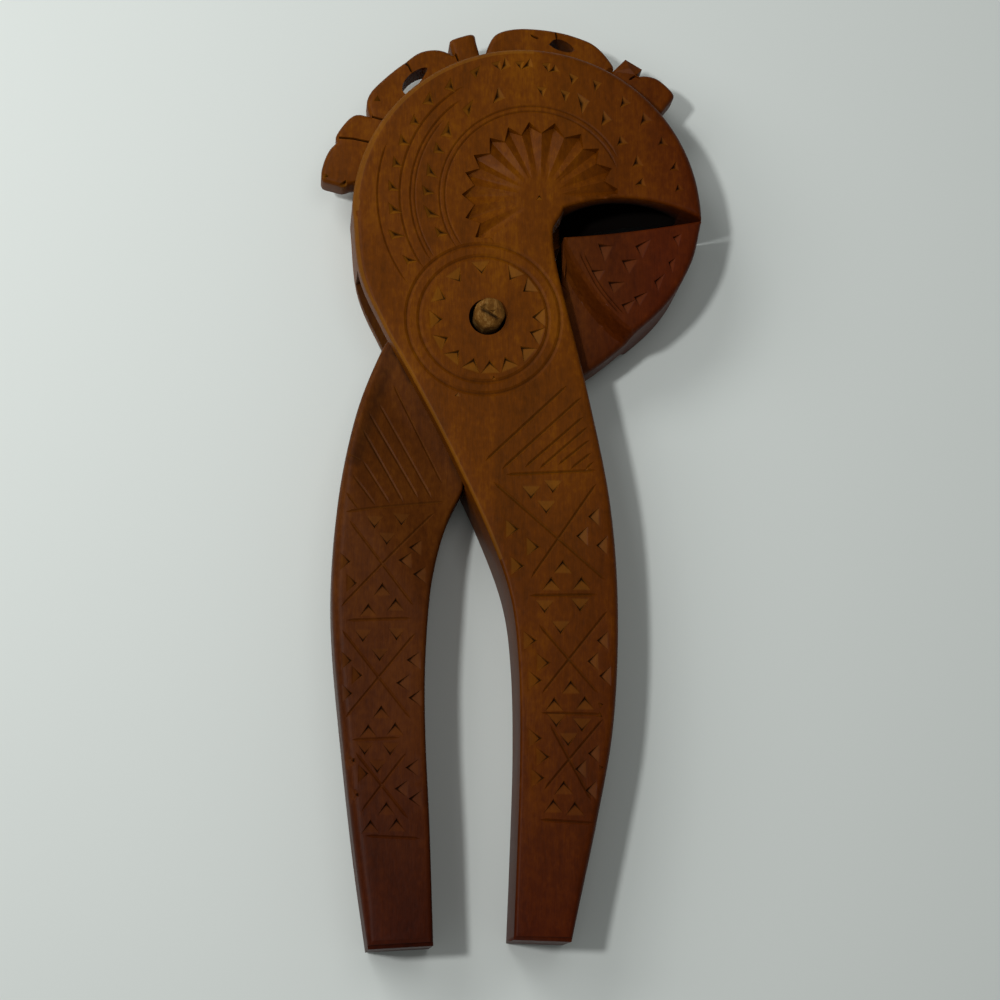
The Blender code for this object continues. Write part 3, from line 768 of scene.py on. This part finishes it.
KNUCKLE = 21.5
SLOT_FLOOR = 5.3
CHEEK_BACK = 17.3
BEYOND = 53.2  # well past the plank's edges
clear = KNUCKLE + 0.6
flank_foot = np.array([-5.1, -41.8])
flank_top = np.array([KNUCKLE * math.cos(math.radians(-100)) + 0.4, -24.0])
slot_roof = arc((0, 0), clear, 125, 80, 1.0)
roof_start = slot_roof[0][1] - clear / 4
slot_side = clear * math.sin(math.radians(36))
slot_outline = np.vstack([
    [(-BEYOND, roof_start), (-clear * 1.4, roof_start)],
    slot_roof,
    [(15.5, 28.3), (19.6, 28.3), (19.6, slot_side)],
    [(BEYOND, slot_side), (BEYOND, -24.0)],
    [flank_top, flank_foot, flank_foot * (1, 1.5) + ((flank_foot - flank_top)[0] / 2, 0)],
    [(flank_foot[0] - BEYOND, -83.6)],
])
CUP_PLACE = (30.0, 29.0, 12.65)
CUP_SIZE = (18.0, 6.1, 7.35)
EYELETS = (
    ((-20.9, 60.2), (-20.6, 62.2), (-19.0, 64.4), (-16.6, 66.0), (-14.6, 66.3), (-15.4, 64.2),
     (-16.8, 62.0), (-18.4, 59.6), (-19.6, 58.9)),
    ((16.0, 73.4), (17.3, 74.8), (19.2, 74.8), (21.2, 73.8), (22.5, 72.3), (21.0, 71.5), (18.0, 72.2)),
)


def nut_cup():
    """The bowl gouged into the roof of the mouth, open to the mortise at its root."""
    bm = bmesh.new()
    place = Matrix.Translation(CUP_PLACE) @ Matrix.Diagonal((*CUP_SIZE, 1.0))
    bmesh.ops.create_uvsphere(bm, u_segments=64, v_segments=32, radius=1.0, matrix=place)
    mesh = bpy.data.meshes.new("nut_cup")
    bm.to_mesh(mesh)
    bm.free()
    return mesh


def bore(name, radius, low, high):
    """A round block about the pivot."""
    return prism(name, arc((0, 0), radius, 0, 360, 0.6)[:-1], low, high)


UNDER, OVER = -1.0, 25.0  # just outside the plank's two faces
cutters = [
    prism("slot", slot_outline, SLOT_FLOOR, CHEEK_BACK),
    nut_cup(),
    bore("front_bore", 4.55, 11.0, OVER),
    bore("back_bore", 4.0, UNDER, 10.0),
]
for count, eyelet in enumerate(EYELETS):
    cutters.append(prism(f"eyelet_{count + 1}", curve(eyelet + eyelet[:1], 0.6)[:-1], UNDER, OVER))


def in_place(mesh, name):
    """An object made from a mesh in millimetres from the pivot, set down where the joint is."""
    mesh.transform(Matrix.Translation(pivot) @ Matrix.Scale(MM, 4))
    made = bpy.data.objects.new(name, mesh)
    bpy.context.scene.collection.objects.link(made)
    return made


def shaped(piece, steps):
    """Joins or cuts with other meshes in turn, and keeps the result as the piece's own mesh."""
    others = []
    for mesh, operation in steps:
        other = in_place(mesh, mesh.name)
        others.append(other)
        step = piece.modifiers.new(mesh.name, "BOOLEAN")
        step.operation = operation
        step.object = other
        step.solver = "MANIFOLD"
    bpy.context.view_layer.update()
    graph = bpy.context.evaluated_depsgraph_get()
    result = bpy.data.meshes.new_from_object(piece.evaluated_get(graph))
    piece.modifiers.clear()
    piece.data = result
    for other in others:
        bpy.data.objects.remove(other, do_unlink=True)
    print(piece.name, "has", len(result.polygons), "faces")
    return piece


head = in_place(head_mesh, "carved_head_lever")
shaped(head, [(mane_mesh, "UNION")] + [(mesh, "DIFFERENCE") for mesh in cutters])

# %% [markdown]
# ## The jaw lever
# The lower jaw and the left handle are the second plank. Between them it is thinned to a knuckle that
# turns in the head's mortise. Its outline is made of the same curves as the head's, and the knuckle is a
# true arc about the peg, since only an arc can turn there. From the thin knuckle the wood swells to the
# jaw by a short slope and to the handle by a long one. One function gives that swelling, and guide lines
# along both slopes keep the triangles in step with it.

# %% Jaw lever: outline
CHIN = ((50.6, 15.5), (44.6, 5.0), (35.2, -4.0), (24.2, -12.6))
CROTCH = (-5.5, -41.8)
INNER_HANDLE = (
    (-9.7, -51.4), (-13.2, -66.0), (-14.6, -84.5), (-14.5, -102.0), (-13.4, -124.0), (-12.4, -151.3),
)
OUTER_HANDLE = (
    (-27.6, -152.2), (-30.8, -131.0), (-33.9, -105.5), (-36.5, -80.0), (-36.9, -62.0),
    (-35.3, -42.5), (-31.2, -22.6), (-25.6, -7.6),
)
HEEL = (18.9, 20.8)
LIP_HOLLOW = 0.6


def on_knuckle(degrees):
    """A point of the knuckle's arc."""
    a = math.radians(degrees)
    return KNUCKLE * math.cos(a), KNUCKLE * math.sin(a)


jaw_tip = crown[-1] - np.array([0.0, JAW_TIP_DROP])
chin = curve((tuple(jaw_tip),) + CHIN + (on_knuckle(-60),))
throat = arc((0, 0), KNUCKLE, -60, -100)[1:]
inner = curve((CROTCH,) + INNER_HANDLE)
outer = curve(OUTER_HANDLE + (on_knuckle(184),))
knuckle = arc((0, 0), KNUCKLE, 184, 29)[1:]
lip_middle = ((HEEL[0] + jaw_tip[0]) / 2, (HEEL[1] + jaw_tip[1]) / 2 - LIP_HOLLOW)
lip = arc_through(HEEL, lip_middle, jaw_tip)[:-1]
jaw_outline = np.vstack([chin, throat, inner, outer, knuckle, lip])
jaw_radii = softened(np.r_[
    np.full(len(chin), 1.6),
    np.full(len(throat), 0.6),
    np.interp(inner[:, 1], (-152, -147, -60, -42), (1.0, 1.2, 1.2, 0.8)),
    np.interp(outer[:, 1], (-152, -146, -40, -8), (1.0, 2.6, 2.6, 1.2)),
    np.full(len(knuckle), 0.6),
    np.full(len(lip), 0.8),
])
print("jaw lever outline:", len(jaw_outline), "points")

# %% Jaw lever: thick jaw, thin knuckle, thick handle
TENON_BACK = 5.65
TENON_FRONT = 16.95
PAD_EDGE = curve(((17.6, 23.0), (25.4, 9.1), (32.7, 0.2), (41.0, -5.6)), 1.2)
PAD_SLOPE = 3.2
RAMP_START = np.array(((-36.0, 5.6), (2.2, -56.5)))
RAMP_LENGTH = 24.0
ramp_along = RAMP_START[1] - RAMP_START[0]
ramp_normal = np.array([ramp_along[1], -ramp_along[0]]) / np.linalg.norm(ramp_along)


def thickening(points):
    """From 0 on the thin knuckle to 1 on the full plank, with soft starts and ends."""
    polygon = np.vstack([PAD_EDGE, [(80, -30), (80, 60), (17, 60)]])
    on_pad = inside(points, polygon)
    pad = np.where(on_pad, 1.0, 1 - np.clip(nearest(points, PAD_EDGE)[0] / PAD_SLOPE, 0, 1))
    run = np.clip((points - RAMP_START[0]) @ ramp_normal / RAMP_LENGTH, 0, 1)
    t = np.maximum(pad, run)
    return t * t * (3 - 2 * t)


jaw_guides = [PAD_EDGE]
for step in (0.25, 0.5, 0.75, 1.0):
    jaw_guides.append(PAD_EDGE - sideways(PAD_EDGE) * PAD_SLOPE * step)
for step in np.linspace(0, 1, 9):
    line = RAMP_START + ramp_normal * RAMP_LENGTH * step
    jaw_guides.append(line[0] + (line[1] - line[0]) * np.linspace(-0.3, 1.3, 90)[:, None])
print("ramp runs towards", ramp_normal.round(2))

# %% [markdown]
# ## The jaw lever's pattern
# The same knife carved the second plank, with a lighter hand: its lines are finer, its chips a little
# smaller. The jaw's own chips are cut one by one with no grid, so each is given by its three corners. A
# double line borders them, and one pale scratch on the handle's edge has gone through the stain.

# %% Jaw lever: the pattern
JAW_LINES = (
    (-22.5, -16.0, -10.5, -40.5), (-26.0, -21.0, -13.0, -44.5), (-28.6, -23.4, -16.4, -44.6),
    (-30.0, -28.0, -20.0, -46.0), (-30.0, -36.0, -23.3, -46.6), (-32.5, -39.5, -26.6, -47.4),
    (-34.0, -44.0, -30.5, -48.6), (-34.0, -49.0, -10.0, -45.0), (-12.5, -48.0, -34.8, -72.0),
    (-33.0, -51.0, -17.5, -71.5), (-33.5, -75.2, -18.0, -74.5), (-34.5, -77.5, -18.0, -98.5),
    (-17.0, -78.0, -33.5, -98.5), (-32.0, -103.6, -20.5, -103.0), (-19.0, -106.5, -29.5, -120.5),
    (-31.0, -106.5, -18.5, -122.0), (-28.5, -126.0, -15.5, -126.6),
)
JAW_CHIPS = {
    -90: ((-27.0, -53.0), (-20.5, -52.0), (-24.0, -57.0), (-29.5, -80.5), (-21.5, -80.0), (-25.5, -85.0),
          (-28.8, -107.3), (-22.8, -107.3), (-25.8, -111.5)),
    0: ((-32.6, -61.0), (-31.0, -66.2), (-32.0, -84.8), (-29.5, -88.3), (-31.8, -92.6), (-31.0, -108.5),
        (-27.8, -111.5), (-30.0, -116.5)),
    180: ((-18.8, -57.2), (-21.3, -60.5), (-17.8, -63.8), (-19.2, -84.5), (-21.6, -90.0), (-18.7, -93.5),
          (-19.3, -110.0), (-21.8, -115.0), (-18.5, -117.3)),
    90: ((-25.0, -66.0), (-28.3, -71.0), (-21.8, -69.6), (-25.0, -95.3), (-28.0, -99.8), (-21.7, -99.3),
         (-23.6, -118.0), (-27.3, -122.2), (-21.2, -121.8)),
}
PAD_CHIP_SCALE = 1.25
PAD_CHIPS = (
    # deep corner, then the two others
    ((27.6, 18.9), (30.8, 18.4), (29.0, 14.8)), ((36.8, 18.8), (40.0, 20.3), (38.3, 16.3)),
    ((33.4, 15.0), (37.0, 15.3), (35.0, 12.0)), ((46.0, 21.3), (47.8, 22.0), (47.2, 19.3)),
    ((44.8, 14.8), (46.3, 15.8), (45.6, 12.5)), ((25.8, 12.3), (28.6, 12.3), (27.3, 9.8)),
    ((41.3, 10.0), (43.5, 11.6), (42.1, 8.0)), ((30.0, 9.4), (33.8, 9.4), (31.3, 6.8)),
    ((36.3, 5.8), (39.3, 7.0), (37.5, 4.0)), ((33.2, 3.8), (36.0, 4.8), (34.5, 1.9)),
)
PAD_BORDER = np.array(((22.6, 17.0), (24.9, 12.2), (27.6, 7.4), (32.6, 1.3)))
SCRATCH = ((-33.6, -34.4), (-30.4, -36.0))

jaw_cuts = []
for x0, y0, x1, y1 in JAW_LINES:
    jaw_cuts.append(groove(((x0, y0), (x1, y1)), 0.8, 0.28, bare_and_sheen=0.4, grime_and_shade=0.3))
for aim, places in JAW_CHIPS.items():
    for x, y in places:
        jaw_cuts.append(chip_at(x, y, aim, 2.6 if aim == 0 else 3.4, 2.2))
for corners in PAD_CHIPS:
    jaw_cuts.append(chip(*enlarged(corners, PAD_CHIP_SCALE), 0.8))
for shift in (0.0, 1.1):
    jaw_cuts.append(groove(curve(PAD_BORDER + (shift, 0), 1.2), 0.6, 0.25))
jaw_cuts.append(groove(SCRATCH, 0.5, 0.15, taper=0.5, bare_and_sheen=1.0, grime_and_shade=0.0))
print("jaw lever:", len(jaw_cuts), "cuts")

# %% Jaw lever: the board
jaw_mesh = board(
    "jaw_lever_board",
    jaw_outline,
    jaw_radii,
    lambda p: TENON_FRONT + (PLANK - 0.1 - TENON_FRONT) * thickening(p) + worn(p),
    lambda p: TENON_BACK * (1 - thickening(p)),
    jaw_cuts,
    jaw_guides,
)
jaw = in_place(jaw_mesh, "carved_jaw_lever")
shaped(jaw, [(bore("tenon_bore", 4.1, UNDER, OVER), "DIFFERENCE")])

# %% [markdown]
# ## The peg
# The pivot is a dowel whittled to fit, and its end was never cleaned up. A few flat knife cuts meet on it,
# with one deep gouge across and a splinter left standing beside it. Its top is the lowest of several
# tilted planes, which is just what a knife leaves. The hole in the front cheek is wide, so the peg leans
# in it and leaves a dark crescent on one side.

# %% Peg
PEG_RADIUS = 3.85
PEG_TOP = 26.2
PEG_FOOT = 0.8
FACETS = (
    # direction that a cut faces, where it starts, and how steeply it falls
    (95, 1.9, 0.75), (150, 2.0, 0.9), (205, 2.5, 1.1), (250, 1.7, 0.8), (300, 2.3, 1.0), (345, 1.6, 0.7),
    (30, 2.1, 0.9), (60, -1.5, 0.12),
)
turns = np.radians(np.arange(0, 360, 12))
uneven = 0.97 + 0.03 * np.cos(7 * turns + 0.8)
peg_outline = np.c_[np.cos(turns), np.sin(turns)] * (PEG_RADIUS * uneven[:, None])


def whittled(points):
    """The peg's end: the lowest of its tilted cuts, and the splinter left standing."""
    height = np.full(len(points), PEG_TOP)
    for turned, start, fall in FACETS:
        a = math.radians(turned)
        beyond = points @ (math.cos(a), math.sin(a)) - start
        height = np.minimum(height, PEG_TOP - fall * np.maximum(beyond, 0))
    splinter = np.exp(-(((points - (-0.3, 1.5)) ** 2).sum(1)) / 0.35)
    return height + 0.1 * splinter


GOUGE = ((-2.6, 1.2), (-0.6, 0.6), (2.9, -1.6))
# the gouge's bottom is painted dark, part dirt and part shade
peg_cuts = [groove(GOUGE, 2.4, 1.3, taper=1.2, grime_and_shade=0.9), chip_at(1.2, 0.4, 20, 2.0, 0.9, 1.4)]
peg_radii = np.full(len(peg_outline), 0.5)
peg_mesh = board("peg_board", peg_outline, peg_radii, whittled, flat(PEG_FOOT), peg_cuts, spacing=0.45)

# %% The peg's lean
PEG_LEAN = Vector((0.35, 0.5, 0)) / (PLANK - CHEEK_BACK)
bm = bmesh.new()
bm.from_mesh(peg_mesh)
everything = bm.verts[:] + bm.edges[:] + bm.faces[:]
bmesh.ops.bisect_plane(bm, geom=everything, plane_co=(0, 0, CHEEK_BACK), plane_no=(0, 0, 1))
for vertex in bm.verts:
    vertex.co += PEG_LEAN * max(vertex.co.z - CHEEK_BACK, 0)
bm.to_mesh(peg_mesh)
bm.free()
peg = in_place(peg_mesh, "whittled_peg")

# %% [markdown]
# ## What the finish has to know
# Stain, dirt and bare wood follow the knife and the hand, not the place on the table. Painting them into
# an image would need a map of each piece. Here each point of a piece remembers three numbers as
# attributes: how bare it is from the knife, with a painted sheen on two rims; how dark it is painted, part
# dirt and part shade; and whether it lies in the mortise, the mouth or the nut's cup, which get painted
# shade.

# %% Bare wood, painted sheen, dirt and painted shade as attributes
STAIN = np.array(((-22.5, -6.0), (-31.5, -36.0)))
STAIN_WIDTH = 2.4
STAIN_STRENGTH = 0.5
# how dark the ledge inside the joint is painted, as shade
LEDGE_SHADE = 0.6
RIM_SHEEN = (
    # edge, how far in the painted sheen reaches, and how strong it is: 1 as a fresh cut, 2 as far as it can
    # go
    (crown[: len(crown) // 2], 1.5, 1.3),
    (neck_edge[neck_edge[:, 1] > -60], 0.7, 1.4),
)
mouth_roof = np.vstack([roof[:-6] + (0, 0.2), back_roof[-7::-1] - (0, 0.2)])


def mark_cuts(piece, groups):
    """Stores the three values at each point of a piece."""
    mesh = piece.data
    places = np.zeros(len(mesh.vertices) * 3)
    mesh.vertices.foreach_get("co", places)
    points = (places.reshape(-1, 3) - np.array(pivot)) / MM
    bare_and_sheen, grime_and_shade = np.zeros((2, len(points)))
    for cuts, low, high in groups:
        chosen = np.flatnonzero((points[:, 2] > low) & (points[:, 2] < high))
        _, bare_and_sheen[chosen], grime_and_shade[chosen] = deepest(cuts, points[chosen, :2])
    if piece is jaw:
        # an old dark stain runs down the swelling of the handle
        away = nearest(points[:, :2], STAIN)[0]
        stain = STAIN_STRENGTH * np.exp(-((away / STAIN_WIDTH) ** 2))
        grime_and_shade = np.maximum(grime_and_shade, stain * (points[:, 2] > 12))
    if piece is head:
        # the ledge of the back cheek that can be seen through the joint is painted darker: painted shade in
        # the slot
        ledge = (np.abs(points[:, 2] - SLOT_FLOOR) < 0.1) & (points[:, 0] < -12)
        grime_and_shade[ledge] = np.maximum(grime_and_shade[ledge], LEDGE_SHADE)
    # a painted sheen lies along the head's rim where it meets the mane, and a painted highlight with some
    # real wear on the neck's sharp edge
    for edge, reach, value in RIM_SHEEN:
        rim = nearest(points[:, :2], edge)[0]
        bare_and_sheen[(points[:, 2] > 21) & (rim > 0.04) & (rim < reach)] = value
    # the nut's cup, the leaning roof of the mouth and the inside of the mortise are painted dark: painted
    # shade
    painted_shade = (((points - np.array(CUP_PLACE)) / np.array(CUP_SIZE)) ** 2).sum(1) < 1.05
    painted_shade |= (points[:, 2] < 19) & inside(points[:, :2], mouth_roof)
    low = np.flatnonzero((points[:, 2] > SLOT_FLOOR - 0.1) & (points[:, 2] < CHEEK_BACK + 0.1))
    within = inside(points[low, :2], slot_outline * 1.01) & inside(points[low, :2], head_outline)
    within &= nearest(points[low, :2], np.vstack([head_outline, head_outline[:1]]))[0] > 0.8
    painted_shade[low[within]] = True
    for name, values in (("bare_and_sheen", bare_and_sheen), ("grime_and_shade", grime_and_shade), ("painted_shade", painted_shade.astype(float))):
        mesh.attributes.new(name, "FLOAT", "POINT").data.foreach_set("value", values)
    print(piece.name, "has", int(painted_shade.sum()), "hidden points of", len(points))


mark_cuts(head, ((head_cuts, 20.0, 24.0), (mane_cuts, 13.5, 16.5)))
mark_cuts(jaw, ((jaw_cuts, 15.0, 24.0),))
mark_cuts(peg, ((peg_cuts, 22.0, 27.0),))

# %% [markdown]
# ## Varnished fruitwood and bare dowel
# Both levers look like a close-grained fruitwood, such as pear or plum, sawn along the grain, stained and
# rubbed with a thin satin varnish. It gives a warm, deep and very even brown: soft clouds where the stain
# went in deeper, faint streaks along the plank, and fibres so fine that they only take the shine off.
# Knife cuts were made through the stain, so their floors are paler and duller, and the deepest line of each
# is painted dark, partly as dirt and partly as shade. Two rims get a pale painted sheen. Hands have reddened
# and darkened the wood towards the end of the handles. All of the grain comes from noise stretched along the
# plank, so it runs through the wood on every side of it. The peg is the same kind of material, only dry, pale
# and unvarnished.

# %% Varnished wood
# the dark of dirt; it also paints the shade in the cuts' deepest lines, the mortise, the mouth and the cup
GRIME_AND_SHADE = "#080402"


def varnished_wood(name, dark, middle, light, bare_and_sheen, handled=(), gloss=0.38):
    """Wood with its grain along Y and its pattern sized in millimetres."""
    made = bpy.data.materials.new(name)
    made.use_nodes = True
    tree = made.node_tree
    shader = tree.nodes["Principled BSDF"]
    place = add(tree, "TexCoord", take="Object")
    mm = add(tree, "VectorMath", {0: place, 1: (1 / MM,) * 3}, operation="MULTIPLY")

    grain, tone = {}, 0.0
    for label, stretch, scale, detail, share in (
        # name, stretch along the grain, how many of its lumps fit in a millimetre, detail, share
        ("clouds", 0.5, 0.06, 3.0, 0.4),  # uneven stain, about two centimetres wide
        ("streaks", 0.035, 0.42, 3.0, 0.18),  # growth rings cut lengthwise, some two millimetres apart
        ("mottle", 0.6, 0.9, 3.0, 0.26),  # ripples of the surface, a good millimetre wide
        ("fibres", 0.06, 4.5, 2.0, 0.16),  # real fibres are five times finer and would not show
    ):
        drawn = add(tree, "VectorMath", {0: mm, 1: (1.0, stretch, 1.0)}, operation="MULTIPLY")
        grain[label] = add(tree, "TexNoise", {"Vector": drawn, "Scale": scale, "Detail": detail})
        tone = add(tree, "Math", {0: grain[label], 1: share, 2: tone}, operation="MULTIPLY_ADD")
    base = add(tree, "ValToRGB", {"Fac": tone}, stops=((0.36, dark), (0.5, middle), (0.64, light)))

    # a cut lets a little bare wood through, and the painted sheen on two rims much more
    bare_and_sheen_share = add(tree, "Attribute", take="Fac", attribute_name="bare_and_sheen")
    cut_and_sheen = add(tree, "MapRange", {"Value": bare_and_sheen_share, "From Min": 0.03, "From Max": 0.13, "To Max": 0.22})
    sheen = add(tree, "MapRange", {"Value": bare_and_sheen_share, "From Min": 1.0, "From Max": 2.0, "To Max": 0.6})
    cut_and_sheen = add(tree, "Math", {0: cut_and_sheen, 1: sheen}, operation="MAXIMUM")
    base = add(tree, "MixRGB", {0: cut_and_sheen, 1: base, 2: colour(bare_and_sheen)})

    # hands take hold of the handles' ends and of the jaws, so the stain is darker and redder there
    for axis, begins, full, tint in handled:
        along = add(tree, "SeparateXYZ", {"Vector": mm}, take=axis)
        held = add(tree, "MapRange", {"Value": along, "From Min": begins, "From Max": full})
        base = add(tree, "MixRGB", {0: held, 1: base, 2: colour(tint)}, blend_type="MULTIPLY")

    # the deepest line of each cut is painted dark, part dirt and part shade, and the mortise, mouth and cup
    # get painted shade
    grime_and_shade = add(tree, "Attribute", take="Fac", attribute_name="grime_and_shade")
    darkening = add(tree, "MapRange", {"Value": grime_and_shade, "From Min": 0.2, "From Max": 0.8, "To Max": 0.85})
    painted_shade = add(tree, "Attribute", take="Fac", attribute_name="painted_shade")
    darkening = add(tree, "Math", {0: darkening, 1: painted_shade}, operation="MAXIMUM")
    base = add(tree, "MixRGB", {0: darkening, 1: base, 2: colour(GRIME_AND_SHADE)})
    tree.links.new(base, shader.inputs["Base Color"])

    # satin where the varnish is whole, duller where it is cut, under the painted sheen of the rims and where
    # it is painted dark
    rough = add(tree, "MapRange", {"Value": grain["clouds"], "To Min": gloss, "To Max": gloss + 0.2})
    rough = add(tree, "Math", {0: cut_and_sheen, 1: 0.5, 2: rough}, operation="MULTIPLY_ADD", use_clamp=True)
    rough = add(tree, "Math", {0: darkening, 1: 0.4, 2: rough}, operation="MULTIPLY_ADD", use_clamp=True)
    tree.links.new(rough, shader.inputs["Roughness"])
    shader.inputs["Specular IOR Level"].default_value = 0.08
    relief = add(tree, "Math", {0: grain["fibres"], 1: 0.35, 2: grain["mottle"]}, operation="MULTIPLY_ADD")
    bump = add(tree, "Bump", {"Height": relief, "Distance": 0.00008, "Strength": 0.6})
    tree.links.new(bump, shader.inputs["Normal"])
    return made


# %% Three woods
# dark, middle and light stain, bare wood, also taken by the painted sheen; for each axis: where handling
# begins, where it is full, its tint
honey = varnished_wood(
    "varnished_honey_fruitwood", "#4c2500", "#5f2f00", "#754100", "#94641c",
    (("Y", 0.0, -115.0, "#ac786c"), ("X", 15.0, 50.0, "#b88474")),
)
russet = varnished_wood(
    "varnished_russet_fruitwood", "#3e1c03", "#4f2705", "#603409", "#744816",
    (("Y", 0.0, -115.0, "#b88470"), ("X", 5.0, 35.0, "#f0b8a4")),
)
# the peg's cut colour is darker than its wood, which paints shade into the gouge and chip on its end
dry = varnished_wood("bare_boxwood_dowel", "#44270a", "#6c471a", "#a5824a", "#3c2008", gloss=0.6)

# %% [markdown]
# ## Dressing the pieces
# Each piece gets its wood, stands in for its plain solid, and rides on the body that carries that solid.
# Smooth shading suits the worn faces, but a knife leaves crisp arrises, so every edge sharper than a few
# degrees is marked as sharp.

# %% Finish, body and place of each piece
SHARP = math.radians(16)
for piece, node, body, finish, slot in (
    (head, "head_lever", "head_lever_body", honey, "honey_brown_wood"),
    (jaw, "jaw_lever", "jaw_lever_body", russet, "red_brown_wood"),
    (peg, "pivot_pin", "head_lever_body", dry, "bare_dowel_wood"),
):
    piece.data.materials.clear()
    piece.data.materials.append(finish)
    piece.data.shade_smooth()
    piece.data.set_sharp_from_angle(angle=SHARP)
    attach(piece, body)
    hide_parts(node)

# %% [markdown]
# ## A last update
# The view layer is updated once more, so every object stands where it was put. The finished model has to
# stay as large as the imported one.

# %% A last update
bpy.context.view_layer.update()
